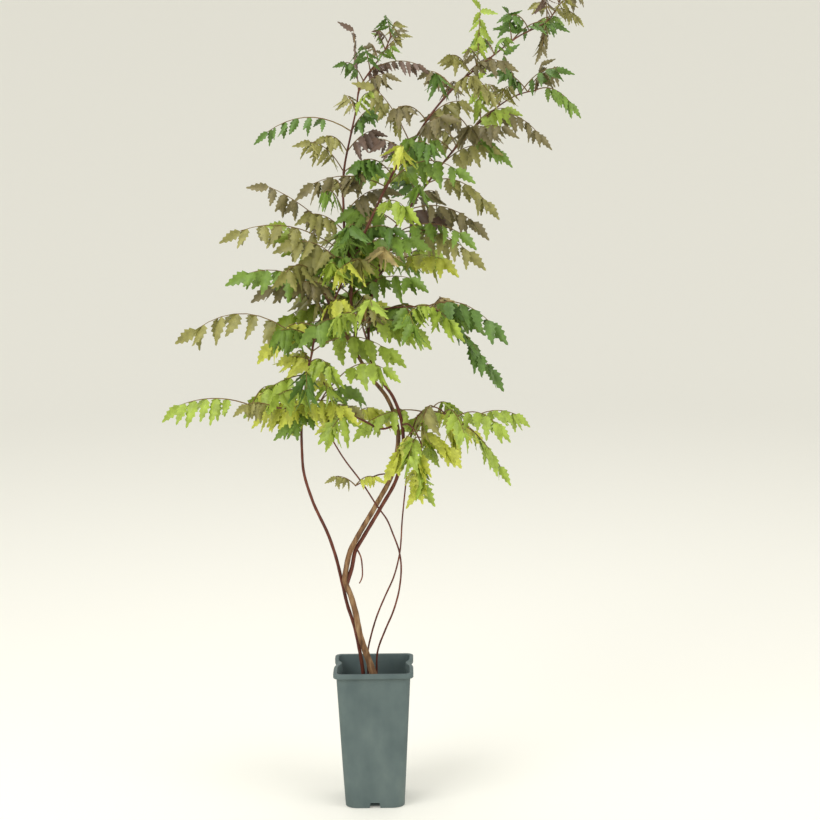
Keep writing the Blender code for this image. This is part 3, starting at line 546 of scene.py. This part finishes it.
oldBark = patterned(
    "old_bark",
    (
        (0.30, srgbToLinear(74, 52, 38)),
        (0.52, srgbToLinear(126, 94, 64)),
        (0.75, srgbToLinear(168, 140, 104)),
    ),
    scale=160.0, stretch=(1.0, 1.0, 0.22), roughness=0.82, bump=0.9, bumpScale=600.0,
)
redBark = patterned(
    "red_bark",
    (
        (0.30, srgbToLinear(70, 34, 26)),
        (0.60, srgbToLinear(104, 54, 38)),
        (0.85, srgbToLinear(140, 92, 62)),
    ),
    scale=120.0, stretch=(1.0, 1.0, 0.30), roughness=0.62, bump=0.5, bumpScale=500.0,
)
youngBark = patterned(
    "young_bark",
    ((0.30, srgbToLinear(78, 40, 34)), (0.70, srgbToLinear(112, 66, 48))),
    scale=90.0, stretch=(1.0, 1.0, 0.40), roughness=0.50, bump=0.3, bumpScale=420.0,
)
leafStalk = patterned(
    "leaf_stalk",
    ((0.30, srgbToLinear(104, 72, 46)), (0.70, srgbToLinear(132, 112, 62))),
    scale=60.0, stretch=(1.0, 1.0, 1.0), roughness=0.50, bump=0.2, bumpScale=420.0,
)
potPlastic = patterned(
    "pot_plastic",
    (
        (0.32, srgbToLinear(78, 92, 92)),
        (0.55, srgbToLinear(88, 102, 101)),
        (0.80, srgbToLinear(102, 115, 112)),
    ),
    scale=26.0, stretch=(1.0, 1.0, 0.6), roughness=0.56, bump=0.25, bumpScale=900.0,
)
soilCrumb = patterned(
    "potting_soil",
    (
        (0.30, srgbToLinear(34, 26, 20)),
        (0.60, srgbToLinear(62, 48, 36)),
        (0.85, srgbToLinear(96, 78, 60)),
    ),
    scale=140.0, stretch=(1.0, 1.0, 1.0), roughness=0.95, bump=1.0, bumpScale=700.0,
)
print("materials made")

# Stems and boughs

stemRule = {
    "step": 0.0035,  # between rings
    "leastRings": 4,
    "sides": 18,
    "start": (0.0, 1.0, 0.12),  # where each ring's first corner points
    "flareFall": 0.014,  # how soon the flare at the soil fades
    "knot": 0.34,  # how much a pair of leaves swells the stem
    "knotWidth": 0.0032,
    "ridge": 0.055,  # how deep the bark's ridges are, as a share of the radius
    "drift": 40.0,  # how fast the ridges wander along the stem
    "waves": ((3, 0.6, 1.0), (7, 1.0, 0.7), (2, 7.0, 0.6)),  # times round, drift, weight
    "apart": 1.7,  # sets each stem's ridges off from the last one's
    "overlap": 0.002,  # how far a stretch reaches back into the one before
}


def shootRadius(shoot, distance):
    # A straight taper, a flare near the soil and a swelling at each pair of leaves
    curve = shoot["curve"]
    radius = lerp(shoot["thick"], distance / curve["lengths"][-1])
    radius = radius + shoot.get("flare", 0.0) * np.exp(-distance / stemRule["flareFall"])
    pairs = np.array([knotAt(curve, pair) for pair in shoot.get("pairs", ())])
    swell = np.exp(-(((distance[:, None] - pairs[None, :]) / stemRule["knotWidth"]) ** 2)).sum(axis=1)
    return radius * (1.0 + stemRule["knot"] * swell)


def stemGrid(shoot, begin, end, offset):
    # The shoot's tube with long ridges: sines round the ring whose phase drifts along the stem
    rings = max(stemRule["leastRings"], int((end - begin) / stemRule["step"]))
    distance = np.linspace(begin, end, rings)
    turn = np.arange(stemRule["sides"]) * 2.0 * np.pi / stemRule["sides"]
    drift = distance[:, None] * stemRule["drift"] + offset
    relief = sum(weight * np.sin(times * turn + drift * speed) for times, speed, weight in stemRule["waves"])
    return closeEnds(tubes(
        curveAt(shoot["curve"], distance), shootRadius(shoot, distance), stemRule["sides"],
        np.array(stemRule["start"]), 1.0 + stemRule["ridge"] * relief,
    ))


def makeStems():
    # One piece for the old stem, one for the red stems and one for what grows inside the masses
    grids = {"old": [], "red": [], "young": []}
    limbs = {"old": [], "red": [], "young": []}
    for number, (name, shoot) in enumerate(shoots.items()):
        begin = 0.0
        for piece, knot in shoot["pieces"]:
            end = knotAt(shoot["curve"], knot)
            inMass = piece.startswith("leaves")
            kind = "young" if inMass else ("old" if name == "old" else "red")
            start = max(begin - stemRule["overlap"], 0.0)
            grids[kind].append(stemGrid(shoot, start, end, number * stemRule["apart"]))
            if not inMass:
                limbs[kind].append(piece)
            begin = end
    for kind, bark in (("old", oldBark), ("red", redBark), ("young", youngBark)):
        faces = []
        total = 0
        for grid in grids[kind]:
            faces.append(gridFaces(grid.shape[0], grid.shape[1], True) + total)
            total += grid.shape[0] * grid.shape[1]
        points = np.concatenate([grid.reshape(-1, 3) for grid in grids[kind]])
        finishPiece(makeMesh("stems_" + kind, points, np.concatenate(faces)), bark, limbs[kind])
    print("stems made")


# Leaves

# Leaf tints, linear base colours, from the lemon low sprays to the bronze and purple top
tints = {
    "lemon": (0.520, 0.550, 0.075),
    "lime": (0.310, 0.410, 0.052),
    "green": (0.165, 0.265, 0.036),
    "deep": (0.100, 0.185, 0.030),
    "olive": (0.265, 0.250, 0.070),
    "bronze": (0.180, 0.152, 0.062),
    "purple": (0.150, 0.096, 0.068),
    "tan": (0.420, 0.330, 0.130),
}
tintHeights = (0.50, 0.66, 0.80, 0.95, 1.10, 1.30)
tintWeights = {  # how often each tint is dealt out at those heights
    "lemon": (8.0, 5.0, 1.4, 0.2, 0.0, 0.0),
    "lime": (3.0, 4.0, 2.6, 1.2, 0.3, 0.0),
    "green": (0.2, 1.4, 3.0, 3.4, 2.0, 1.0),
    "deep": (0.0, 0.1, 0.5, 1.6, 2.0, 1.4),
    "olive": (0.8, 1.2, 2.0, 2.4, 2.6, 2.4),
    "bronze": (0.0, 0.2, 0.8, 1.4, 2.6, 3.2),
    "purple": (0.0, 0.0, 0.0, 0.2, 0.9, 1.6),
    "tan": (1.2, 0.8, 0.5, 0.2, 0.0, 0.0),
}
leafletShape = {
    "stations": 11,  # places along a leaflet, every other one a tooth
    "across": (-1.0, -0.5, 0.0, 0.5, 1.0),
    "tooth": 0.36,  # how deep the teeth cut, as a share of the half width
    "toothForward": 0.035,  # how far the teeth point forward, as a share of the length
    "widest": 0.56,  # a lower power puts the widest place nearer the root
    "fullness": 0.9,  # a lower power makes the outline rounder
    "rootWidth": 0.04,
    "fold": 0.34,  # how far the halves are folded up from the midrib
    "curl": 0.30,  # the most that a tip bends out of its plane
    "broader": 1.12,  # than the solids' leaflets, whose edges have no teeth
    "slack": 0.001,  # how far a leaflet may stand out of the solids' box
    "seed": 77,
}
leafRule = {
    "pairs": 4,  # of leaflets
    "reachPairs": 5,  # on a leaf whose tip is set
    "firstPair": 0.34,  # where the leaflets begin and end along the rachis
    "lastPair": 0.94,
    "stagger": 0.012,  # between the two of a pair, as a share of the rachis
    "shift": 0.008,  # how far a leaflet strays along it
    "splay": (0.55, 0.36),  # sideways: the mean, and the most that it strays
    "hang": (0.85, 0.38),  # downwards
    "forward": (0.32, 0.34),  # along the rachis
    "twist": 0.60,  # how far the blades turn at random
    "leafletSize": (0.84, 0.24, 0.12),  # at the ends, what the middle adds, and the spread
    "middle": 0.6,  # puts the longest leaflets a little before the middle
    "leastLevel": 0.25,  # what a steep leaf's level reach gains, as a share of its length
    "endLevel": 0.75,  # how level the end leaflet lies, and how far it hangs
    "endHang": 0.55,
    "upperStart": 1.1,  # above this height the leaflets hang less
    "upperRun": 0.2,
    "upperLess": 0.25,
    "turnSpread": 14,  # degrees
    "lengthSpread": 0.12,
    "liftSpread": 0.12,
    "rise": (0.32, 0.12),  # the arch of the rachis
    "longest": 0.42,  # of a leaflet, as a share of its leaf
    "betweenSize": 0.72,  # of the leaves that grow between the pairs
    "betweenTurn": 45,
    "betweenSeed": 1000,
    "tipGap": 0.001,  # the last pair grows this far before the tip
    "draws": (12, 5),  # random numbers for each leaf, a row for each leaflet
    "ownRow": 9,  # this row also sets the leaf's own turn, length, lift and arch
    "tintSeed": 5,
}
stalkShape = {
    "rings": 10,
    "sides": 6,
    "thick": (0.0011, 0.0005),
    "start": (0.03, 0.05, 1.0),  # where each ring's first corner points
}


def bezier(base, control, end, share):
    # A quadratic curve: the three points weighted by (1 - s)^2, 2 s (1 - s) and s^2
    return (1 - share) ** 2 * base + 2 * share * (1 - share) * control + share**2 * end


def stray(pair, draw):
    # A mean, moved by its spread times a draw between -1 and 1
    return pair[0] + pair[1] * draw


def growLeaf(base, tip, rise, pairs, size, slim, draws, twists):
    # A rachis from base to tip, lifted in its middle, with leaflets that hang from it in pairs
    reachLength = np.linalg.norm(tip - base)
    level = (tip - base) * (1.0 - up)
    least = leafRule["leastLevel"] * reachLength
    if np.linalg.norm(level) < least:
        level = level + least * unit(level + 1e-6)  # never a vector of no length
    sink = (tip - base)[2] / reachLength - leafRule["endHang"]
    endWay = unit(unit(level) * leafRule["endLevel"] + up * sink)
    end = tip - endWay * size
    control = (base + end) / 2 + up * rise * np.linalg.norm(end - base)
    upper = np.clip((base[2] - leafRule["upperStart"]) / leafRule["upperRun"], 0.0, 1.0)
    hang = (leafRule["hang"][0] - leafRule["upperLess"] * upper, leafRule["hang"][1])
    short, more, spread = leafRule["leafletSize"]
    leaflets = [(end, endWay, unit(np.cross(endWay, np.cross(endWay, up))), size, size * slim)]
    for pair in range(pairs):
        place = lerp((leafRule["firstPair"], leafRule["lastPair"]), pair / max(pairs - 1, 1))
        for side in (-1.0, 1.0):
            draw = draws[2 * pair + int(side > 0)]
            at = place + side * leafRule["stagger"] + leafRule["shift"] * draw[0]
            tangent = unit(2 * (1 - at) * (control - base) + 2 * at * (end - control))
            way = unit(
                unit(np.cross(tangent, up)) * side * stray(leafRule["splay"], draw[1])
                - up * stray(hang, draw[2])
                + tangent * stray(leafRule["forward"], draw[3])
            )
            swell = math.sin(math.pi * (pair + leafRule["middle"]) / pairs)
            length = size * (short + more * swell + spread * draw[4])
            across = unit(tangent + leafRule["twist"] * twists.uniform(-1.0, 1.0, 3))
            leaflets.append((bezier(base, control, end, at), way, across, length, length * slim))
    return {"base": base, "control": control, "end": end, "leaflets": leaflets}


def dealTint(height, rule):
    # Draws a tint with weights that run between the heights of the table
    names = list(tintWeights)
    weights = np.array([np.interp(height, tintHeights, tintWeights[name]) for name in names])
    return names[int(rule.choice(len(names), p=weights / weights.sum()))]


def growShoot(shoot, tintRule):
    # Opposite pairs, each a quarter turn on from the last, and smaller leaves between the pairs
    curve = shoot["curve"]
    rule = np.random.default_rng(shoot["seed"])
    between = np.random.default_rng(shoot["seed"] + leafRule["betweenSeed"])
    last = len(shoot["pairs"]) - 1
    leaves = []
    for index, knot in enumerate(shoot["pairs"]):
        share = index / max(last, 1)
        distance = min(knotAt(curve, knot), curve["lengths"][-1] - leafRule["tipGap"])
        for side in range(4):
            extra = side > 1  # these two grow halfway to the next pair
            draws = (between if extra else rule).uniform(-1.0, 1.0, leafRule["draws"])
            own = draws[leafRule["ownRow"]]
            if extra and index == last:
                continue
            turn = shoot["turn"] + 90 * index + 180 * side + leafRule["turnSpread"] * own[0]
            length = lerp(shoot["leaf"], share) * (1.0 + leafRule["lengthSpread"] * own[1])
            here = distance
            if extra:
                turn += leafRule["betweenTurn"]
                length *= leafRule["betweenSize"]
                here = (distance + knotAt(curve, shoot["pairs"][index + 1])) / 2
            lift = lerp(shoot["lift"], share) + leafRule["liftSpread"] * own[2]
            level = math.sqrt(max(0.0, 1.0 - lift * lift))
            turn = math.radians(turn)
            base = curveAt(curve, here)
            tip = base + length * np.array([math.cos(turn) * level, math.sin(turn) * level, lift])
            rise = stray(leafRule["rise"], own[3])
            pairs = leafRule["pairs"]
            if (index, side) in shoot.get("reach", {}):
                tip, rise = shoot["reach"][(index, side)]
                tip = np.array(tip)
                pairs = leafRule["reachPairs"]
            size = min(lerp(shoot["leaflet"], share), leafRule["longest"] * np.linalg.norm(tip - base))
            slim = lerp(shoot["slim"], share) * leafletShape["broader"]
            leaf = growLeaf(base, tip, rise, pairs, size, slim, draws, between)
            leaf["tint"] = dealTint((base[2] + tip[2]) / 2, tintRule)
            leaves.append(leaf)
    return leaves


def leafletGrids(roots, ways, acrosses, lengths, widths, bends):
    # A leaflet is a grid: u runs from root to drip tip and v across. Its half width follows a sine of
    # u to a power, cut back at every other station for the teeth, and its halves fold up from v = 0.
    u = np.linspace(0.0, 1.0, leafletShape["stations"])
    v = np.array(leafletShape["across"])
    pointed = np.arange(len(u)) % 2
    half = np.sin(np.pi * u ** leafletShape["widest"]) ** leafletShape["fullness"]
    half = half * (1.0 - leafletShape["tooth"] * (1 - pointed))
    half[0] = leafletShape["rootWidth"]
    half[-1] = 0.0
    along = u[:, None] + np.abs(v)[None, :] * leafletShape["toothForward"] * pointed[:, None]
    wide = half[:, None] * v[None, :]
    lifted = np.abs(wide) * widths[:, None, None] / 2 * leafletShape["fold"]
    curled = bends[:, None, None] * lengths[:, None, None] * (u**2)[:, None]
    normals = np.cross(ways, acrosses)
    return (
        roots[:, None, None, :]
        + ways[:, None, None, :] * (lengths[:, None, None] * along)[..., None]
        + acrosses[:, None, None, :] * (wide * widths[:, None, None] / 2)[..., None]
        + normals[:, None, None, :] * (lifted + curled)[..., None]
    )


def makeLeaflets(leaves, low, high):
    # One piece for each tint, without the leaflets that would leave the box from low to high
    rule = np.random.default_rng(leafletShape["seed"])
    slack = leafletShape["slack"]
    total = 0
    for tint, colour in tints.items():
        chosen = [leaflet for leaf in leaves if leaf["tint"] == tint for leaflet in leaf["leaflets"]]
        roots, ways, acrosses, lengths, widths = (np.array(column) for column in zip(*chosen))
        acrosses = unit(acrosses - ways * (acrosses * ways).sum(axis=1, keepdims=True))
        bends = leafletShape["curl"] * rule.uniform(-1.0, 1.0, len(roots))
        grids = leafletGrids(roots, ways, acrosses, lengths, widths, bends)
        inside = ((grids > low - slack) & (grids < high + slack)).all(axis=(1, 2, 3))
        points, faces = joinGrids(grids[inside], False)
        item = makeMesh("leaflets_" + tint, points, faces)
        finishPiece(item, leafMaterial("leaf_" + tint, colour))
        total += int(inside.sum())
    print("leaflets made:", total)


def makeStalks(leaves, low, high):
    # A thin tapering tube along each rachis, in one piece that stands for the masses
    share = np.linspace(0.0, 1.0, stalkShape["rings"])
    controls = [np.array([leaf[key] for leaf in leaves])[:, None] for key in ("base", "control", "end")]
    lines = bezier(*controls, share[None, :, None])
    lines = lines[((lines > low) & (lines < high)).all(axis=(1, 2))]
    radii = np.broadcast_to(lerp(stalkShape["thick"], share), lines.shape[:2])
    points, faces = joinGrids(tubes(lines, radii, stalkShape["sides"], np.array(stalkShape["start"])), True)
    masses = [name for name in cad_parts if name.startswith("leaves")]
    finishPiece(makeMesh("leaf_stalks", points, faces), leafStalk, masses)
    print("leaf stalks made:", len(lines))


def makeLeaves():
    # All leaves are grown first, so that the tints are dealt out in one order
    tintRule = np.random.default_rng(leafRule["tintSeed"])
    growing = [shoot for shoot in shoots.values() if "pairs" in shoot]
    leaves = [leaf for shoot in growing for leaf in growShoot(shoot, tintRule)]
    low, high = (np.array(corner) for corner in cadBounds)
    makeLeaflets(leaves, low, high)
    makeStalks(leaves, low, high)


# Pot and soil

potSizes = {
    "height": 0.230,
    "foot": 0.0485,  # half widths of the square
    "neck": 0.0600,
    "lip": 0.0650,
    "lipHeight": 0.008,
    "wall": 0.0020,
    "floor": 0.0030,
    "footCorner": 0.020,
    "neckCorner": 0.009,
    "cornerThin": 0.001,  # how much smaller the corners are inside
    "cornerRise": 0.06,  # the height at which the corners reach the neck's radius
    "cornerPower": 0.7,
    "cornerSteps": 8,
    "sideSteps": 24,
    "pinch": 0.0065,  # how far the left and right sides are drawn in near the rim
    "pinchY": 0.008,
    "pinchWidth": 0.013,
    "pinchStart": 0.198,  # height
    "pinchOver": 0.6,  # how much of a corner's radius it reaches over
    "footEdge": 0.0015,  # how much narrower the underside is than the foot
    "footRings": (0.0008, 0.0025),  # heights of the rings at the foot's edge
    "wallRings": (0.012, 14, 10),  # the lowest, and how many outside and inside
    "pinchRings": (0.201, 0.2215, 8),
    "sharp": 32,  # degrees, the least angle of a sharp edge
}
notchSizes = {"width": 0.020, "top": 0.015, "height": 0.009, "depth": 0.012, "past": 0.01}


def quarterTurn(count):
    # The matrix that turns rows of points by so many quarters about Z
    turn = count * np.pi / 2
    return np.array([
        [math.cos(turn), math.sin(turn), 0.0], [-math.sin(turn), math.cos(turn), 0.0], [0.0, 0.0, 1.0],
    ])


def squareRing(half, corner, height, pinch):
    # A square with round corners at a height: straight sides joined by quarter circles, and the left
    # and right sides drawn in by a bell curve along Y
    arc = np.linspace(0.0, np.pi / 2, potSizes["cornerSteps"] + 1)
    along = np.arange(1, potSizes["sideSteps"]) / potSizes["sideSteps"]
    bow = (half - corner) + corner * np.stack([np.cos(arc), np.sin(arc)], axis=1)
    side = np.stack([bow[-1][0] - 2 * (half - corner) * along, np.full(len(along), bow[-1][1])], axis=1)
    quarter = np.concatenate([bow, side])
    ring = np.concatenate([quarter @ quarterTurn(count)[:2, :2] for count in range(4)])
    drawn = pinch * np.exp(-(((ring[:, 1] - potSizes["pinchY"]) / potSizes["pinchWidth"]) ** 2))
    ring[:, 0] -= np.sign(ring[:, 0]) * drawn * (np.abs(ring[:, 0]) > half - potSizes["pinchOver"] * corner)
    return np.column_stack([ring, np.full(len(ring), height)])


def wallHalf(height):
    # A straight taper from foot to neck
    return lerp((potSizes["foot"], potSizes["neck"]), height / (potSizes["height"] - potSizes["lipHeight"]))


def wallCorner(height):
    # The corners tighten from foot to neck with a power of the height
    share = np.clip(height / potSizes["cornerRise"], 0.0, 1.0) ** potSizes["cornerPower"]
    return lerp((potSizes["footCorner"], potSizes["neckCorner"]), share)


def wallPinch(height):
    # The pinch grows by a smooth step, 3 s^2 - 2 s^3, from its start to the lip
    run = potSizes["height"] - potSizes["lipHeight"] - potSizes["pinchStart"]
    share = np.clip((height - potSizes["pinchStart"]) / run, 0.0, 1.0)
    return potSizes["pinch"] * share * share * (3.0 - 2.0 * share)


def potRings():
    # Rings from the underside up the outside, over the rolled lip and down the inside to the floor
    top = potSizes["height"]
    under = top - potSizes["lipHeight"]
    lip = potSizes["lip"]
    neck = potSizes["neck"]
    corner = potSizes["neckCorner"]
    start = potSizes["pinchStart"]
    lowest, outer, inner = potSizes["wallRings"]
    pinched = np.linspace(*potSizes["pinchRings"])
    outside = np.concatenate([potSizes["footRings"], np.linspace(lowest, start, outer), pinched])
    inside = np.concatenate([pinched[::-1], np.linspace(start, potSizes["floor"], inner)])
    rolled = (  # half width, corner radius and height
        (neck, corner, under),
        (lip - 0.0006, corner + 0.002, under + 0.0004),
        (lip, corner + 0.002, under + 0.0012),
        (lip, corner + 0.002, top - 0.0012),
        (lip - 0.0004, corner + 0.002, top - 0.0004),
        (lip - 0.0014, corner + 0.001, top),
        (neck - 0.0005, corner, top),
        (neck - 0.0012, corner, top - 0.0006),
    )
    rings = [squareRing(potSizes["foot"] - potSizes["footEdge"], potSizes["footCorner"], 0.0, 0.0)]
    rings += [squareRing(wallHalf(z), wallCorner(z), z, wallPinch(z)) for z in outside]
    rings += [squareRing(half, radius, z, potSizes["pinch"]) for half, radius, z in rolled]
    wall = potSizes["wall"]
    thin = potSizes["cornerThin"]
    rings += [squareRing(wallHalf(z) - wall, wallCorner(z) - thin, z, wallPinch(z)) for z in inside]
    return np.array(rings)


def notchCutter():
    # Four wedges, one through the foot of each side, wider at the ground than at their tops
    low = notchSizes["width"] / 2
    high = notchSizes["top"] / 2
    under = -notchSizes["past"]
    section = ((-low, under), (low, under), (high, notchSizes["height"]), (-high, notchSizes["height"]))
    inner = potSizes["foot"] - notchSizes["depth"]
    outer = potSizes["foot"] + notchSizes["past"]
    wedge = np.array([(x, y, z) for x in (inner, outer) for y, z in section])
    box = np.array([(3, 2, 1, 0), (4, 5, 6, 7), (0, 1, 5, 4), (2, 3, 7, 6), (1, 2, 6, 5), (3, 0, 4, 7)])
    points = np.concatenate([wedge @ quarterTurn(count) for count in range(4)])
    return makeMesh("notch_cutter", points, np.concatenate([box + len(wedge) * count for count in range(4)]))


def makePot():
    # The rings closed by a flat underside and a flat floor, with the four notches cut out
    grid = potRings()
    rows, columns, _ = grid.shape
    faces = gridFaces(rows, columns, True).tolist()
    faces.append(list(range(columns - 1, -1, -1)))
    faces.append(list(range((rows - 1) * columns, rows * columns)))
    pot = makeMesh("nursery_pot", grid.reshape(-1, 3), faces)
    cutter = notchCutter()
    cut = pot.modifiers.new("notches", "BOOLEAN")
    cut.operation = "DIFFERENCE"
    cut.object = cutter
    graph = bpy.context.evaluated_depsgraph_get()
    pot.data = bpy.data.meshes.new_from_object(pot.evaluated_get(graph))
    pot.modifiers.clear()
    bpy.data.objects.remove(cutter, do_unlink=True)
    pot.data.materials.clear()
    pot.data.shade_smooth()
    pot.data.set_sharp_from_angle(angle=math.radians(potSizes["sharp"]))
    finishPiece(pot, potPlastic, ["pot"])
    print("pot made")


soilSizes = {
    "cells": 90,
    "middle": 0.1889,  # height round the stems
    "edge": 0.186,  # the height at which the pot's width is taken
    "gap": 0.0008,  # to the pot's wall
    "drop": 0.004,  # how much lower it lies at the wall
    "dropStart": 0.6,  # where that begins, as a share of the way to the wall
    "wave": 0.0005,
    "ripples": ((210, 3, 90), (260, 2, 120)),  # radians a metre, sway, and the sway's radians a metre
    "diagonal": 430,  # radians a metre
    "crumbs": 2200,
    "crumbSize": (0.0006, 0.0017),  # the least, and the most that is added
    "crumbMargin": 0.003,
    "crumbLift": 0.0003,
    "crumbFlat": 0.7,  # height as a share of the width
    "crumbRagged": (0.6, 1.3),  # each corner's reach
    "crumbSkew": 0.2,
    "seed": 8,
}


def makeSoil():
    # A square sheet of soil whose height is a sum of sines, and crumbs as small eight-faced stones
    cells = soilSizes["cells"]
    half = wallHalf(soilSizes["edge"]) - potSizes["wall"] - soilSizes["gap"]
    side = np.linspace(-half, half, cells)
    x, y = np.meshgrid(side, side, indexing="ij")
    waves = np.sin((x + y) * soilSizes["diagonal"])
    for (speed, sway, slow), here, there in zip(soilSizes["ripples"], (x, y), (y, x)):
        waves = waves + np.sin(here * speed + sway * np.sin(there * slow))
    away = np.maximum(np.abs(x), np.abs(y)) / half
    fall = np.clip((away - soilSizes["dropStart"]) / (1.0 - soilSizes["dropStart"]), 0.0, 1.0)
    z = soilSizes["middle"] - soilSizes["drop"] * fall + soilSizes["wave"] * waves
    sheet = np.stack([x, y, z], axis=-1).reshape(-1, 3)
    rule = np.random.default_rng(soilSizes["seed"])
    count = soilSizes["crumbs"]
    reach = half - soilSizes["crumbMargin"]
    places = rule.uniform(-reach, reach, (count, 2))
    cell = ((places + half) / (2 * half) * (cells - 1)).round().astype(int)
    centres = np.column_stack([places, z[cell[:, 0], cell[:, 1]] + soilSizes["crumbLift"]])
    size = soilSizes["crumbSize"][0] + soilSizes["crumbSize"][1] * rule.random(count) ** 3
    flat = soilSizes["crumbFlat"]
    corners = np.array([(1, 0, 0), (-1, 0, 0), (0, 1, 0), (0, -1, 0), (0, 0, flat), (0, 0, -flat)])
    ragged = corners[None] * rule.uniform(*soilSizes["crumbRagged"], (count, len(corners), 1))
    ragged = ragged + soilSizes["crumbSkew"] * rule.uniform(-1.0, 1.0, (count, len(corners), 3))
    stones = centres[:, None] + ragged * size[:, None, None]
    upper = [(0, 2, 4), (2, 1, 4), (1, 3, 4), (3, 0, 4)]
    lower = [(2, 0, 5), (1, 2, 5), (3, 1, 5), (0, 3, 5)]
    first = np.arange(count) * len(corners) + len(sheet)
    stoneFaces = (np.array(upper + lower)[None] + first[:, None, None]).reshape(-1, 3)
    faces = gridFaces(cells, cells, False).tolist() + stoneFaces.tolist()
    item = makeMesh("potting_soil", np.concatenate([sheet, stones.reshape(-1, 3)]), faces)
    finishPiece(item, soilCrumb, ["soil"])
    print("soil made")


# Floor, light and camera

studio = {
    "radius": 9.0,
    "flatRadius": 4.4,
    "rimHeight": 3.0,
    "rings": 40,
    "sides": 96,
    "floor": (0.76, 0.75, 0.68, 1.0),
    "roughness": 0.9,
    "specular": 0.2,
    "glow": (1.0, 0.98, 0.90, 1.0),
    "glowStrength": 0.16,  # lifts the far rim, where the lamps are weak
    "sky": (1.0, 0.99, 0.96, 1.0),
    "skyStrength": 0.68,
}
lamps = {  # place, turn in degrees, size and power
    "key": ((-2.2, -2.6, 3.0), (52, 0, -38), 2.4, 84.0),
    "fill": ((2.6, -2.2, 2.0), (62, 0, 48), 2.6, 44.0),
    "top": ((0.0, 0.2, 3.6), (0, 0, 0), 2.2, 34.0),
}
lens = {  # fitted to the photograph's own view
    "place": (0.064, -3.156, 1.123),
    "pitch": 8.5,  # degrees down
    "roll": 0.61,
    "focal": 1979.0,  # in pixels of a frame this wide
    "frameWidth": 820.0,
    "film": 36.0,
}


def makeStage():
    # A round floor whose rim rises as a square of the distance past its flat middle: a turned profile
    radius = np.linspace(0.0, studio["radius"], studio["rings"])[:, None]
    past = np.clip((radius - studio["flatRadius"]) / (studio["radius"] - studio["flatRadius"]), 0.0, 1.0)
    turn = np.arange(studio["sides"]) * 2.0 * np.pi / studio["sides"]
    axes = np.broadcast_arrays(radius * np.cos(turn), radius * np.sin(turn), studio["rimHeight"] * past**2)
    faces = gridFaces(studio["rings"], studio["sides"], True)[:, ::-1]
    sweep = makeMesh("studio_sweep", np.stack(axes, axis=-1).reshape(-1, 3), faces)
    floor, shader = newMaterial("studio_floor", studio["roughness"], studio["specular"])
    shader.inputs["Base Color"].default_value = studio["floor"]
    shader.inputs["Emission Color"].default_value = studio["glow"]
    shader.inputs["Emission Strength"].default_value = studio["glowStrength"]
    sweep.data.materials.append(floor)
    print("floor made")


def makeLights():
    # Soft square lamps and a pale sky
    for name, (place, turn, size, power) in lamps.items():
        lamp = bpy.data.lights.new(name, "AREA")
        lamp.size = size
        lamp.energy = power
        item = bpy.data.objects.new(name, lamp)
        item.location = place
        item.rotation_euler = [math.radians(value) for value in turn]
        bpy.context.scene.collection.objects.link(item)
    world = bpy.data.worlds.new("studio")
    world.use_nodes = True
    world.node_tree.nodes["Background"].inputs["Color"].default_value = studio["sky"]
    world.node_tree.nodes["Background"].inputs["Strength"].default_value = studio["skyStrength"]
    bpy.context.scene.world = world
    bpy.context.scene.view_settings.view_transform = "Standard"
    print("lights made")


def makeCamera():
    # Level along +Y, tipped down by the pitch, then rolled about its own line of sight
    camera = bpy.data.cameras.new("camera")
    camera.sensor_width = lens["film"]
    camera.lens = lens["focal"] / lens["frameWidth"] * lens["film"]
    item = bpy.data.objects.new("camera", camera)
    tilt = Euler((math.radians(90.0 - lens["pitch"]), 0.0, 0.0)).to_matrix()
    item.rotation_euler = (tilt @ Matrix.Rotation(-math.radians(lens["roll"]), 3, "Z")).to_euler()
    item.location = lens["place"]
    bpy.context.scene.collection.objects.link(item)
    bpy.context.scene.camera = item
    print("camera made")


for shoot in shoots.values():
    shoot["curve"] = smoothCurve(shoot["route"])
makeStems()
makeLeaves()
makePot()
makeSoil()
makeStage()
makeLights()
makeCamera()
